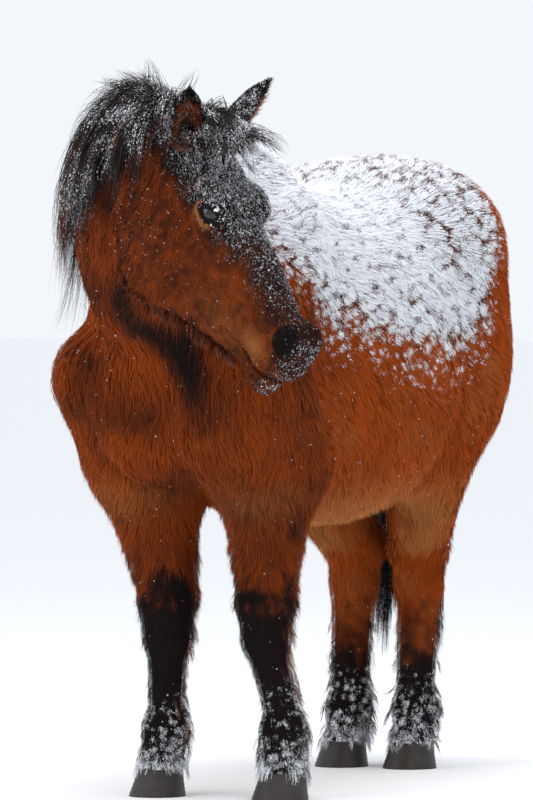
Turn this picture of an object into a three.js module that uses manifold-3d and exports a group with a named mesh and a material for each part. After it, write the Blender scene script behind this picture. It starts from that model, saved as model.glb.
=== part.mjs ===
// A bay Icelandic horse in its winter coat, life size, standing square with its head turned to its left.
// Units are millimetres. +Z is up, the horse faces -Y, and its left side is +X.
// While it is drawn, the origin is on the ground midway between the fore feet. The last lines move it
// to the middle of the footprint. Each surface is the outside of the coat.
import * as THREE from "three";
import { mergeVertices } from "three/addons/utils/BufferGeometryUtils.js";
import Module from "manifold-3d";

const wasm = await Module();
wasm.setup();

// Driving dimensions
const GAP = 0.4; // between nodes that touch
const LEG_GAP = 0.3; // between the torso and the legs
const HAIR_CLEARANCE = 0.6; // between the forelock or mane and the thin edges of the head and ears
const HEAD_HEADING = 74; // degrees that the face is turned to the horse's left
const HEAD_PITCH = 52; // degrees that the face points down
const HEAD_ROLL = 4; // degrees that the left side of the head is raised
const POLL = [159, -500, 1406];
const EYE_RADIUS = 22;
const EYE = [205, 70, -30]; // along the face, to the side, towards the forehead
const MUZZLE = { from: 208, share: 0.937 }; // in front of this the face is shortened by this share
const LEAN = 24; // how far the forehand leans to the horse's right
const HOOF_HEIGHT = 56;
const BACK_OF_BARREL = 960; // where the rump begins to round off
const TAIL_TIP_HEIGHT = 190;

// Random numbers, the same in each run
function seeded(seed) {
  let state = seed;
  return () => {
    state = (state + 0x6d2b79f5) | 0;
    let t = Math.imul(state ^ (state >>> 15), 1 | state);
    t = (t + Math.imul(t ^ (t >>> 7), 61 | t)) ^ t;
    return ((t ^ (t >>> 14)) >>> 0) / 4294967296;
  };
}

// Fields: each gives a rough signed distance in millimetres, below zero inside the flesh.
const clamp = (v, low, high) => Math.min(Math.max(v, low), high);
const radians = THREE.MathUtils.degToRad;

function blend(a, b, k) {
  const h = Math.max(k - Math.abs(a - b), 0) / k;
  return Math.min(a, b) - (h * h * k) / 4;
}

// A smooth curve through knots [position, value], level at both ends.
function profile(knots) {
  const slope = knots.map((_, i) => {
    if (i === 0 || i === knots.length - 1) return 0;
    const [before, after] = [knots[i - 1], knots[i + 1]];
    return (after[1] - before[1]) / (after[0] - before[0]);
  });
  return (at) => {
    const last = knots.length - 1;
    if (at <= knots[0][0]) return knots[0][1];
    if (at >= knots[last][0]) return knots[last][1];
    let i = 0;
    while (knots[i + 1][0] < at) i++;
    const span = knots[i + 1][0] - knots[i][0];
    const t = (at - knots[i][0]) / span;
    const s = 1 - t;
    return (
      knots[i][1] * (1 + 2 * t) * s * s +
      slope[i] * span * t * s * s +
      knots[i + 1][1] * t * t * (3 - 2 * t) -
      slope[i + 1] * span * t * t * s
    );
  };
}

// A mass with three radii, leaned back by some degrees about the left-right axis.
function mass([cx, cy, cz], [rx, ry, rz], lean = 0) {
  const [c, s] = [Math.cos(radians(lean)), Math.sin(radians(lean))];
  return (x, y, z) => {
    const [dx, dy, dz] = [x - cx, y - cy, z - cz];
    const [ly, lz] = [c * dy - s * dz, s * dy + c * dz];
    const near = Math.hypot(dx / rx, ly / ry, lz / rz);
    const slope = Math.hypot(dx / (rx * rx), ly / (ry * ry), lz / (rz * rz));
    return slope < 1e-9 ? -Math.min(rx, ry, rz) : (near * (near - 1)) / slope;
  };
}

// A bone with its muscle, from a to b, narrower from side to side than from front to back.
function bone(a, ra, b, rb, width = 1) {
  const [ex, ey, ez] = [(b[0] - a[0]) / width, b[1] - a[1], b[2] - a[2]];
  const long = ex * ex + ey * ey + ez * ez;
  return (x, y, z) => {
    const [dx, dy, dz] = [(x - a[0]) / width, y - a[1], z - a[2]];
    const t = clamp((dx * ex + dy * ey + dz * ez) / long, 0, 1);
    const off = Math.hypot(dx - t * ex, dy - t * ey, dz - t * ez);
    return (off - ra - t * (rb - ra)) * width;
  };
}

// A body of changing section along one axis, with rounded ends. The section is widest at its waist height.
function loft({ from, to, capFrom, capTo, half, low, high, waist, power }) {
  return (side, along, up) => {
    const at = clamp(along, from, to);
    const end = Math.max((from - along) / capFrom, (along - to) / capTo, 0);
    const middle = waist(at);
    const tall = up > middle ? high(at) - middle : middle - low(at);
    const wide = half(at);
    const sum =
      Math.abs(side / wide) ** power + Math.abs((up - middle) / tall) ** power + end ** power;
    return (sum ** (1 / power) - 1) * Math.min(wide, tall) * 0.9;
  };
}

const barrel = loft({
  from: -70,
  to: BACK_OF_BARREL,
  capFrom: 170,
  capTo: 215,
  power: 2.25,
  half: profile([[-70, 190], [100, 230], [250, 262], [450, 292], [620, 300], [780, 284], [960, 258]]),
  low: profile([[-70, 668], [100, 604], [250, 578], [450, 558], [620, 562], [780, 612], [960, 720]]),
  high: profile([[-70, 1200], [100, 1330], [250, 1315], [450, 1292], [620, 1303], [780, 1348], [960, 1372]]),
  waist: profile([[-70, 920], [250, 900], [620, 890], [780, 930], [960, 1010]]),
});
const withers = mass([0, 120, 1262], [62, 210, 112]);
const shoulderBlade = mass([150, -20, 1050], [82, 128, 240], 30);
const upperArm = bone([176, -140, 885], 102, [168, 25, 715], 104);
const breast = mass([82, -168, 850], [104, 92, 172]);
const rumpMuscle = mass([132, 900, 1155], [170, 235, 175]);
const thigh = mass([164, 925, 935], [142, 205, 272], -10);
const buttock = mass([104, 1070, 960], [112, 104, 255]);

function trunk(x, y, z) {
  const side = Math.abs(x);
  let d = blend(barrel(x, y, z), withers(x, y, z), 70);
  d = blend(d, shoulderBlade(side, y, z), 60);
  d = blend(d, upperArm(Math.abs(x + LEAN), y, z), 100);
  d = blend(d, breast(side, y, z), 60);
  d = blend(d, rumpMuscle(side, y, z), 60);
  d = blend(d, thigh(side, y, z), 70);
  return blend(d, buttock(side, y, z), 60);
}

// Neck: sections along a curved line, tall from throat to crest and narrow from side to side.
const neckLine = new THREE.CatmullRomCurve3(
  [[0, 70, 1075], [-38, -120, 1140], [-25, -285, 1215], [42, -400, 1275], [125, -458, 1305]].map(
    (p) => new THREE.Vector3(...p),
  ),
);
const neckHalfTall = profile([[0, 272], [0.3, 262], [0.6, 222], [0.85, 172], [1, 140]]);
const neckHalfWide = profile([[0, 178], [0.3, 168], [0.6, 146], [0.85, 112], [1, 90]]);
const NECK_SECTIONS = 22;
const neckSections = Array.from({ length: NECK_SECTIONS + 1 }, (_, i) => {
  const t = i / NECK_SECTIONS;
  const along = neckLine.getTangent(t);
  const side = new THREE.Vector3().crossVectors(along, new THREE.Vector3(0, 0, 1)).normalize();
  const crest = new THREE.Vector3().crossVectors(side, along).normalize();
  return { t, at: neckLine.getPoint(t), along, side, crest };
});

function neckField(x, y, z) {
  let best = neckSections[0];
  let nearest = Infinity;
  for (const s of neckSections) {
    const off = (x - s.at.x) ** 2 + (y - s.at.y) ** 2 + (z - s.at.z) ** 2;
    if (off < nearest) [nearest, best] = [off, s];
  }
  const [dx, dy, dz] = [x - best.at.x, y - best.at.y, z - best.at.z];
  const ahead = dx * best.along.x + dy * best.along.y + dz * best.along.z;
  const t = clamp(best.t + ahead / neckLine.getLength(), 0, 1);
  const past = best.t === 0 ? Math.min(ahead, 0) : best.t === 1 ? Math.max(ahead, 0) : 0;
  const aside = dx * best.side.x + dy * best.side.y + dz * best.side.z;
  const above = dx * best.crest.x + dy * best.crest.y + dz * best.crest.z;
  const [wide, tall] = [neckHalfWide(t), neckHalfTall(t)];
  const near = Math.hypot(aside / wide, above / tall, past / wide);
  return (near - 1) * wide;
}

// Head, in its own frame: u from the poll to the lips, w to the side, v out of the forehead.
const headMatrix = (() => {
  const [yaw, pitch, roll] = [HEAD_HEADING, HEAD_PITCH, HEAD_ROLL].map(radians);
  const heading = new THREE.Vector3(Math.sin(yaw), -Math.cos(yaw), 0);
  const up = new THREE.Vector3(0, 0, 1);
  const face = heading.clone().multiplyScalar(Math.cos(pitch)).addScaledVector(up, -Math.sin(pitch));
  const left = new THREE.Vector3().crossVectors(up, heading);
  left.applyAxisAngle(face, -roll);
  const forehead = new THREE.Vector3().crossVectors(face, left);
  return new THREE.Matrix4().makeBasis(face, left, forehead).setPosition(...POLL);
})();
const toHead = headMatrix.clone().invert().elements;

const skull = loft({
  from: 20,
  to: 520,
  capFrom: 60,
  capTo: 64,
  power: 2.5,
  half: profile([[0, 64], [60, 78], [120, 84], [200, 86], [260, 78], [330, 62], [410, 48], [480, 40], [520, 36]]),
  low: profile([[0, -170], [60, -232], [120, -280], [180, -300], [245, -286], [302, -260], [358, -238], [420, -214], [520, -186]]),
  high: profile([[0, 4], [60, 30], [120, 38], [180, 28], [269, 6], [342, 4], [398, -4], [442, -11], [520, -26]]),
  waist: profile([[0, -60], [120, -80], [200, -90], [300, -90], [400, -86], [520, -84]]),
});
const cheek = mass([176, 48, -165], [122, 44, 118]);
const browBone = mass([190, 66, -6], [48, 26, 30]);
const faceRidge = bone([244, 72, -92], 11, [360, 52, -94], 8);
const nostrilWing = mass([532, 25, -54], [38, 19, 40]);
const nostrilHole = bone([549, 48, -72], 17, [521, 44, -36], 12);
const upperLip = mass([550, 0, -98], [38, 35, 36]);
const lowerLip = mass([530, 0, -164], [46, 33, 28]);
const eyelids = mass(EYE, [27, 25, 25]);
const MOUTH = {
  corner: 456,
  depth: 8,
  spread: 6,
  line: profile([[450, -150], [500, -155], [543, -149], [566, -137], [600, -122]]),
};

function headField(u, w, v) {
  const side = Math.abs(w);
  let d = blend(skull(w, u, v), cheek(u, side, v), 40);
  d = blend(d, browBone(u, side, v), 26);
  d = blend(d, faceRidge(u, side, v), 26);
  d = blend(d, nostrilWing(u, side, v), 26);
  d = blend(d, upperLip(u, w, v), 24);
  d = blend(d, lowerLip(u, w, v), 22);
  d = blend(d, eyelids(u, side, v), 16);
  d = -blend(-d, nostrilHole(u, side, v), 8);
  const inMouth = clamp((u - MOUTH.corner) / 14, 0, 1);
  const off = (v - MOUTH.line(u)) / MOUTH.spread;
  return d + inMouth * MOUTH.depth * Math.exp(-off * off);
}

function headInBody(x, y, z) {
  const m = toHead;
  const along = m[0] * x + m[4] * y + m[8] * z + m[12];
  return headField(
    along + Math.max(along - MUZZLE.from, 0) * (1 / MUZZLE.share - 1),
    m[1] * x + m[5] * y + m[9] * z + m[13],
    m[2] * x + m[6] * y + m[10] * z + m[14],
  );
}

// Legs: joints from the body down, as named places of each leg.
const FORE = {
  right: { elbow: [-162, 25, 705], knee: [-108, 2, 368], fetlock: [-115, 8, 138], hoof: [-117, -24, 0] },
  left: { elbow: [108, 25, 720], knee: [116, 2, 368], fetlock: [152, 8, 138], hoof: [162, -24, 0] },
};
const HIND = {
  right: { stifle: [-168, 820, 735], hock: [-80, 1012, 442], fetlock: [-80, 985, 130], hoof: [-82, 950, 0] },
  left: { stifle: [168, 820, 735], hock: [76, 1012, 442], fetlock: [77, 985, 130], hoof: [80, 950, 0] },
};
const shifted = ([x, y, z], dx, dy, dz) => [x + dx, y + dy, z + dz];
const joined = (fields, k) => (x, y, z) => fields.reduce((d, f) => blend(d, f(x, y, z), k), 1e4);

function foreLeg({ elbow, knee, fetlock, hoof }) {
  const coronet = [hoof[0], hoof[1] + 10, HOOF_HEIGHT];
  return joined(
    [
      bone(elbow, 110, shifted(knee, 0, 6, 62), 66, 0.98),
      bone(shifted(knee, 0, -2, 30), 60, shifted(knee, 0, 0, -32), 53, 1),
      bone(shifted(knee, 0, 6, -40), 44, shifted(fetlock, 0, 2, 30), 40, 0.95),
      mass(shifted(fetlock, 0, 4, -4), [50, 55, 50]),
      bone(fetlock, 42, coronet, 50, 1),
    ],
    26,
  );
}

function hindLeg({ stifle, hock, fetlock, hoof }) {
  const coronet = [hoof[0], hoof[1] + 10, HOOF_HEIGHT];
  return joined(
    [
      bone(stifle, 118, shifted(hock, 0, 0, 62), 68, 0.95),
      bone(shifted(hock, 0, 2, 30), 63, shifted(hock, 0, -2, -34), 52, 0.98),
      mass(shifted(hock, 0, 40, 46), [30, 30, 52], 12),
      bone(shifted(hock, 0, 2, -40), 50, shifted(fetlock, 0, 2, 30), 44, 0.98),
      mass(shifted(fetlock, 0, 4, -4), [50, 54, 48]),
      bone(fetlock, 42, coronet, 50, 1),
    ],
    28,
  );
}

const legs = {
  foreleg_right: foreLeg(FORE.right),
  foreleg_left: foreLeg(FORE.left),
  hindleg_right: hindLeg(HIND.right),
  hindleg_left: hindLeg(HIND.left),
};
const LEG_BLEND = 75;

function body(x, y, z) {
  let d = blend(trunk(x, y, z), neckField(x, y, z), 80);
  if (z < 900) for (const leg of Object.values(legs)) d = blend(d, leg(x, y, z), LEG_BLEND);
  return d;
}
const foreBody = (x, y, z) => blend(body(x, y, z), headInBody(x, y, z), 45);
const headAndNeck = (x, y, z) => blend(headInBody(x, y, z), neckField(x, y, z), 45);

// Marching tetrahedra: the closed surface of a field inside a box of cubes.
const TETS = [[0, 1, 3, 7], [0, 1, 5, 7], [0, 2, 3, 7], [0, 2, 6, 7], [0, 4, 5, 7], [0, 4, 6, 7]];

function surfaceOf(field, low, high, step) {
  const n = low.map((l, i) => Math.ceil((high[i] - l) / step) + 1);
  const strideY = n[0];
  const strideZ = n[0] * n[1];
  const value = new Float32Array(strideZ * n[2]);
  for (let k = 0; k < n[2]; k++)
    for (let j = 0; j < n[1]; j++)
      for (let i = 0; i < n[0]; i++) {
        const onRim = i * j * k === 0 || i === n[0] - 1 || j === n[1] - 1 || k === n[2] - 1;
        const d = onRim ? step : field(low[0] + i * step, low[1] + j * step, low[2] + k * step);
        value[i + j * strideY + k * strideZ] = d === 0 ? 1e-3 : d;
      }
  const corner = Array.from({ length: 8 }, (_, c) => (c & 1) + ((c >> 1) & 1) * strideY + (c >> 2) * strideZ);
  const place = (g) => [g % strideY, Math.floor(g / strideY) % n[1], Math.floor(g / strideZ)];
  const points = [];
  const faces = [];
  const made = new Map();
  const crossing = (a, b) => {
    const key = Math.min(a, b) * value.length + Math.max(a, b);
    if (!made.has(key)) {
      const t = clamp(value[a] / (value[a] - value[b]), 0.06, 0.94);
      const [pa, pb] = [place(a), place(b)];
      made.set(key, points.length);
      points.push(pa.map((p, i) => low[i] + (p + t * (pb[i] - p)) * step));
    }
    return made.get(key);
  };
  const triangle = (a, b, c, inner, outer) => {
    const [p, q, r] = [points[a], points[b], points[c]];
    const out = place(outer).map((g, i) => g - place(inner)[i]);
    const [ax, ay, az, bx, by, bz] = [q[0] - p[0], q[1] - p[1], q[2] - p[2], r[0] - p[0], r[1] - p[1], r[2] - p[2]];
    const facing = (ay * bz - az * by) * out[0] + (az * bx - ax * bz) * out[1] + (ax * by - ay * bx) * out[2];
    faces.push(facing > 0 ? [a, b, c] : [a, c, b]);
  };
  for (let k = 0; k < n[2] - 1; k++)
    for (let j = 0; j < n[1] - 1; j++)
      for (let i = 0; i < n[0] - 1; i++) {
        const base = i + j * strideY + k * strideZ;
        for (const tet of TETS) {
          const ids = tet.map((c) => base + corner[c]);
          const inside = ids.filter((g) => value[g] < 0);
          const outside = ids.filter((g) => value[g] >= 0);
          if (inside.length === 1 || outside.length === 1) {
            const [tip] = inside.length === 1 ? inside : outside;
            const rest = inside.length === 1 ? outside : inside;
            const [a, b, c] = rest.map((g) => crossing(tip, g));
            triangle(a, b, c, inside[0], outside[0]);
          } else if (inside.length === 2) {
            const [a, b] = inside;
            const [c, d] = outside;
            const ring = [crossing(a, c), crossing(a, d), crossing(b, d), crossing(b, c)];
            triangle(ring[0], ring[1], ring[2], a, c);
            triangle(ring[0], ring[2], ring[3], a, c);
          }
        }
      }
  return { points, faces };
}

// Quadric edge collapse: takes a closed mesh down to a number of faces, and keeps its curved places finer.
function thinned({ points, faces }, wanted) {
  const at = points.map((p) => [...p]);
  const quadric = at.map(() => new Float64Array(10));
  const around = at.map(() => new Set());
  const alive = faces.map((f) => [...f]);
  const planeOf = (a, b, c) => {
    const [ax, ay, az] = [b[0] - a[0], b[1] - a[1], b[2] - a[2]];
    const [bx, by, bz] = [c[0] - a[0], c[1] - a[1], c[2] - a[2]];
    const [nx, ny, nz] = [ay * bz - az * by, az * bx - ax * bz, ax * by - ay * bx];
    const area = Math.hypot(nx, ny, nz) || 1e-12;
    return [nx / area, ny / area, nz / area, area];
  };
  alive.forEach((f, i) => {
    const [nx, ny, nz, area] = planeOf(...f.map((v) => at[v]));
    const d = -(nx * at[f[0]][0] + ny * at[f[0]][1] + nz * at[f[0]][2]);
    const terms = [nx * nx, nx * ny, nx * nz, nx * d, ny * ny, ny * nz, ny * d, nz * nz, nz * d, d * d];
    for (const v of f) {
      around[v].add(i);
      terms.forEach((t, k) => (quadric[v][k] += t * area));
    }
  });
  const errorAt = (q, [x, y, z]) =>
    q[0] * x * x + 2 * q[1] * x * y + 2 * q[2] * x * z + 2 * q[3] * x + q[4] * y * y +
    2 * q[5] * y * z + 2 * q[6] * y + q[7] * z * z + 2 * q[8] * z + q[9];
  const bestPlace = (a, b) => {
    const q = quadric[a].map((t, k) => t + quadric[b][k]);
    const middle = at[a].map((p, k) => (p + at[b][k]) / 2);
    const choices = [middle, at[a], at[b]];
    const solved = new THREE.Matrix3().set(q[0], q[1], q[2], q[1], q[4], q[5], q[2], q[5], q[7]);
    if (Math.abs(solved.determinant()) > 1e-6 * (q[0] + q[4] + q[7]) ** 3) {
      const p = new THREE.Vector3(-q[3], -q[6], -q[8]).applyMatrix3(solved.invert());
      const reach = Math.hypot(...at[a].map((v, k) => v - at[b][k]));
      if (p.distanceTo(new THREE.Vector3(...middle)) < reach) choices.push([p.x, p.y, p.z]);
    }
    const costs = choices.map((p) => errorAt(q, p));
    const least = costs.indexOf(Math.min(...costs));
    const stretch = at[a].reduce((sum, v, k) => sum + (v - at[b][k]) ** 2, 0);
    return { place: choices[least], cost: Math.max(costs[least], 0) + 1e-4 * stretch * stretch };
  };
  const heap = [];
  const push = (item) => {
    let i = heap.push(item) - 1;
    while (i > 0) {
      const up = (i - 1) >> 1;
      if (heap[up].cost <= heap[i].cost) break;
      [heap[up], heap[i]] = [heap[i], heap[up]];
      i = up;
    }
  };
  const pop = () => {
    const top = heap[0];
    const last = heap.pop();
    if (heap.length) {
      heap[0] = last;
      for (let i = 0; ; ) {
        const [l, r] = [2 * i + 1, 2 * i + 2];
        let small = i;
        if (l < heap.length && heap[l].cost < heap[small].cost) small = l;
        if (r < heap.length && heap[r].cost < heap[small].cost) small = r;
        if (small === i) break;
        [heap[small], heap[i]] = [heap[i], heap[small]];
        i = small;
      }
    }
    return top;
  };
  const stamp = new Uint32Array(at.length);
  const neighbours = (v) => {
    const found = new Set();
    for (const f of around[v]) for (const o of alive[f]) if (o !== v) found.add(o);
    return found;
  };
  const offer = (a, b) => push({ a, b, sa: stamp[a], sb: stamp[b], ...bestPlace(a, b) });
  at.forEach((_, a) => neighbours(a).forEach((b) => a < b && offer(a, b)));
  let count = faces.length;
  while (count > wanted && heap.length) {
    const { a, b, sa, sb, place } = pop();
    if (stamp[a] !== sa || stamp[b] !== sb || !around[a].size || !around[b].size) continue;
    const [na, nb] = [neighbours(a), neighbours(b)];
    if (!na.has(b) || [...na].filter((v) => nb.has(v)).length !== 2) continue;
    const keeps = [...around[a], ...around[b]].every((f) => {
      const corners = alive[f];
      if (corners.includes(a) && corners.includes(b)) return true;
      const before = planeOf(...corners.map((v) => at[v]));
      const after = planeOf(...corners.map((v) => (v === a || v === b ? place : at[v])));
      return before[0] * after[0] + before[1] * after[1] + before[2] * after[2] > 0.35;
    });
    if (!keeps) continue;
    for (const f of [...around[b]]) {
      if (alive[f].includes(a)) {
        alive[f].forEach((v) => around[v].delete(f));
        alive[f] = null;
        count--;
      } else {
        alive[f] = alive[f].map((v) => (v === b ? a : v));
        around[a].add(f);
      }
    }
    around[b].clear();
    at[a] = place;
    quadric[a] = quadric[a].map((t, k) => t + quadric[b][k]);
    stamp[a]++;
    stamp[b]++;
    neighbours(a).forEach((v) => offer(a, v));
  }
  return { points: at, faces: alive.filter(Boolean) };
}

// Solids
function solidOf(geometry) {
  const bare = new THREE.BufferGeometry().setAttribute("position", geometry.getAttribute("position"));
  if (geometry.index) bare.setIndex(geometry.index);
  const merged = mergeVertices(bare, 1e-3);
  return new wasm.Manifold(
    new wasm.Mesh({
      numProp: 3,
      vertProperties: new Float32Array(merged.getAttribute("position").array),
      triVerts: new Uint32Array(merged.index.array),
    }),
  );
}

function solidFrom({ points, faces }) {
  return new wasm.Manifold(
    new wasm.Mesh({
      numProp: 3,
      vertProperties: new Float32Array(points.flat()),
      triVerts: new Uint32Array(faces.flat()),
    }),
  );
}

function geometryOf(solid) {
  const mesh = solid.getMesh();
  return new THREE.BufferGeometry()
    .setAttribute("position", new THREE.BufferAttribute(new Float32Array(mesh.vertProperties), 3))
    .setIndex(new THREE.BufferAttribute(new Uint32Array(mesh.triVerts), 1));
}

// The largest closed piece: loose scraps of a cut are dropped.
const largest = (solid) => solid.decompose().sort((a, b) => b.volume() - a.volume())[0];
const union = (solids) => solids.reduce((all, s) => all.add(s));

// A solid rounded to the numbers that a mesh holds, and still one closed surface.
function settled(solid) {
  const pieces = solidOf(geometryOf(solid)).decompose();
  return pieces.length === 1 ? pieces[0] : settled(pieces.sort((a, b) => b.volume() - a.volume())[0]);
}

// A solid swollen by a gap, to cut a neighbour clear of it.
function grown(solid, by = GAP) {
  const geometry = geometryOf(solid);
  geometry.computeVertexNormals();
  const place = geometry.getAttribute("position");
  const normal = geometry.getAttribute("normal");
  for (let i = 0; i < place.count; i++)
    place.setXYZ(i, place.getX(i) + by * normal.getX(i), place.getY(i) + by * normal.getY(i), place.getZ(i) + by * normal.getZ(i));
  return solidOf(geometry);
}

// A solid and its copies moved a little each way, to cut hair clear of its thin edges.
function roomAround(solid, by = HAIR_CLEARANCE) {
  const sides = [-by, by];
  const corners = sides.flatMap((x) => sides.flatMap((y) => sides.map((z) => [x, y, z])));
  const straight = sides.flatMap((s) => [[s, 0, 0], [0, s, 0], [0, 0, s]]);
  return union([solid, ...[...corners, ...straight].map((move) => solid.translate(move))]);
}

// The part of a solid on the side of a plane that its normal points away from.
function below(solid, point, normal, clear = GAP / 2) {
  const n = new THREE.Vector3(...normal).normalize();
  return solid.trimByPlane([-n.x, -n.y, -n.z], clear - n.dot(new THREE.Vector3(...point)));
}
const above = (solid, point, normal) => below(solid, point, normal.map((c) => -c));

function box(low, high) {
  const size = high.map((h, i) => h - low[i]);
  const made = new THREE.BoxGeometry(...size);
  made.translate(...low.map((l, i) => l + size[i] / 2));
  return solidOf(made);
}

// Planes that part the body, each a point and a normal
const NECK_CUT = { point: [0, -125, 1135], normal: [0.05, -0.82, 0.57] };
const HEAD_CUT = { point: [34, 0, -110], normal: [-0.96, 0, -0.28] }; // in the head's own frame
const HEAD_REACH = { side: 128, below: -322 }; // the rest of the neck passes beside and under the head
const FORE_CUT = { point: [140, 0, 662], normal: [-0.5, 0.16, 1] };
const HIND_CUT = { point: [120, 980, 712], normal: [0.12, -0.42, 1] };
const KNEE_CUT = 432;
const HOCK_CUT = 530;

const inBody = (p) => new THREE.Vector3(...p).applyMatrix4(headMatrix).toArray();
const turned = (n) => new THREE.Vector3(...n).transformDirection(headMatrix).toArray();
const headCut = { point: inBody(HEAD_CUT.point), normal: turned(HEAD_CUT.normal) };

function headRegion(clear) {
  const { side, below: lowest } = HEAD_REACH;
  const around = new THREE.BoxGeometry(1000, 2 * (side + clear), 600 + clear);
  around.translate(300, 0, lowest - clear + (600 + clear) / 2);
  return below(solidOf(around.applyMatrix4(headMatrix)), headCut.point, headCut.normal, -clear);
}

function legRegion(cut, side, low, high) {
  const region = box(side > 0 ? [low[0], low[1], low[2]] : [-high[0], low[1], low[2]], side > 0 ? [high[0], high[1], high[2]] : [-low[0], high[1], high[2]]);
  return below(region, [cut.point[0] * side, cut.point[1], cut.point[2]], [cut.normal[0] * side, cut.normal[1], cut.normal[2]], 0);
}

const regions = {
  foreleg_right: legRegion(FORE_CUT, -1, [22, -300, HOOF_HEIGHT + GAP], [420, 196, 900]),
  foreleg_left: legRegion(FORE_CUT, 1, [22, -300, HOOF_HEIGHT + GAP], [420, 196, 900]),
  hindleg_right: legRegion(HIND_CUT, -1, [GAP, 640, HOOF_HEIGHT + GAP], [420, 1320, 980]),
  hindleg_left: legRegion(HIND_CUT, 1, [GAP, 640, HOOF_HEIGHT + GAP], [420, 1320, 980]),
};

const FACES = { head: 2500, neck: 600, torso: 1800, upperLeg: 300, lowerLeg: 300, ear: 250 };

function makeTorso() {
  const mesh = thinned(surfaceOf(body, [-380, -330, 500], [380, 1240, 1450], 26), FACES.torso * 1.15);
  let solid = below(solidFrom(mesh), NECK_CUT.point, NECK_CUT.normal);
  for (const region of Object.values(regions)) solid = solid.subtract(roomAround(region, LEG_GAP));
  return largest(solid);
}

function makeLeg(name, bend) {
  const side = name.endsWith("left") ? 1 : -1;
  const fore = name.startsWith("fore");
  const [low, high] = fore ? [[20, -190, 30], [300, 230, 800]] : [[-20, 660, 30], [330, 1260, 900]];
  const x = side > 0 ? [low[0], high[0]] : [-high[0], -low[0]];
  const upper = surfaceOf(body, [x[0], low[1], bend - 60], [x[1], high[1], high[2]], 17);
  const lower = surfaceOf(legs[name], [x[0], low[1], 30], [x[1], high[1], bend + 40], 9);
  const flat = [0, 0, 1];
  return {
    [`${name}_upper`]: largest(
      above(solidFrom(thinned(upper, FACES.upperLeg * 1.5)).intersect(regions[name]), [0, 0, bend], flat),
    ),
    [`${name}_lower`]: largest(
      below(solidFrom(thinned(lower, FACES.lowerLeg * 1.1)).intersect(regions[name]), [0, 0, bend], flat),
    ),
  };
}

function makeNeck() {
  const mesh = surfaceOf(foreBody, [-330, -720, 760], [330, 220, 1560], 20);
  const solid = above(solidFrom(thinned(mesh, FACES.neck * 3)), NECK_CUT.point, NECK_CUT.normal);
  return largest(solid.subtract(headRegion(GAP / 2)));
}

// The head is meshed in its own frame, so that its two sides are alike.
function makeHead() {
  const inOwn = (u, w, v) => {
    const m = headMatrix.elements;
    return blend(
      headField(u, w, v),
      neckField(m[0] * u + m[4] * w + m[8] * v + m[12], m[1] * u + m[5] * w + m[9] * v + m[13], m[2] * u + m[6] * w + m[10] * v + m[14]),
      45,
    );
  };
  const mesh = thinned(surfaceOf(inOwn, [-90, -190, -350], [620, 190, 110], 7.5), FACES.head);
  mesh.points = mesh.points.map(inBody);
  return largest(solidFrom(mesh).intersect(headRegion(-GAP / 2)));
}

// Eyes: a ball in a socket, seen through an almond opening between the lids.
const EYE_OPENING = { length: 46, height: 26, tilt: 20 };

function eyeParts(side) {
  const centre = new THREE.Vector3(EYE[0], EYE[1] * side, EYE[2]);
  const outward = new THREE.Vector3(0.28, 0.95 * side, 0.12).normalize();
  const ball = (radius, rings) => new THREE.SphereGeometry(radius, rings * 2, rings).translate(...centre);
  const { length, height, tilt } = EYE_OPENING;
  const almond = new THREE.Shape()
    .moveTo(-length / 2, 0)
    .quadraticCurveTo(0, height, length / 2, 0)
    .quadraticCurveTo(0, -height * 0.85, -length / 2, 0);
  const slit = new THREE.ExtrudeGeometry(almond, { depth: 60, bevelEnabled: false, curveSegments: 5 });
  const along = new THREE.Vector3(1, 0, 0).applyAxisAngle(outward, radians(-tilt) * side);
  along.addScaledVector(outward, -along.dot(outward)).normalize();
  const across = new THREE.Vector3().crossVectors(outward, along);
  slit.applyMatrix4(new THREE.Matrix4().makeBasis(along, across, outward).setPosition(...centre));
  const placed = (geometry) => solidOf(geometry.applyMatrix4(headMatrix));
  return {
    eye: placed(ball(EYE_RADIUS, 7)),
    socket: placed(ball(EYE_RADIUS + GAP, 7)),
    slit: placed(slit),
  };
}

// Ears: a leaf-shaped cup, in a frame of side, opening and length.
const EAR = { length: 158, base: [42, 68, 8], wall: 6 };
const earWidth = profile([[-24, 26], [20, 31], [60, 33], [104, 25], [138, 13], [158, 3]]);
const EAR_POSE = {
  right: { up: [-0.18, -0.63, 0.75], open: [0.6, -0.75, 0.3] },
  left: { up: [-0.37, 0.3, 0.88], open: [0.8, 0.56, 0.19] },
};

function earField(s, o, h) {
  const width = earWidth(h);
  const deep = width * 0.85;
  const cup = width - EAR.wall;
  const outer = (Math.hypot(s / width, o / deep, Math.max(h - EAR.length + 4, 0) / 6) - 1) * deep;
  const bottom = Math.max(-24 - h, outer);
  if (cup < 2) return bottom;
  const hollow = (Math.hypot(s / cup, (o - deep * 0.75) / (deep * 1.25)) - 1) * cup;
  return Math.max(bottom, -Math.max(hollow, 16 - h, h - EAR.length + 14));
}

function makeEar(name) {
  const side = name === "left" ? 1 : -1;
  const up = new THREE.Vector3(...EAR_POSE[name].up).normalize();
  const open = new THREE.Vector3(...EAR_POSE[name].open);
  open.addScaledVector(up, -open.dot(up)).normalize();
  const across = new THREE.Vector3().crossVectors(open, up);
  const frame = new THREE.Matrix4().makeBasis(across, open, up);
  frame.setPosition(EAR.base[0], EAR.base[1] * side, EAR.base[2]).premultiply(headMatrix);
  const mesh = thinned(surfaceOf(earField, [-44, -44, -30], [44, 44, 166], 4), FACES.ear);
  mesh.points = mesh.points.map((p) => new THREE.Vector3(...p).applyMatrix4(frame).toArray());
  return solidFrom(mesh);
}

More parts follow.
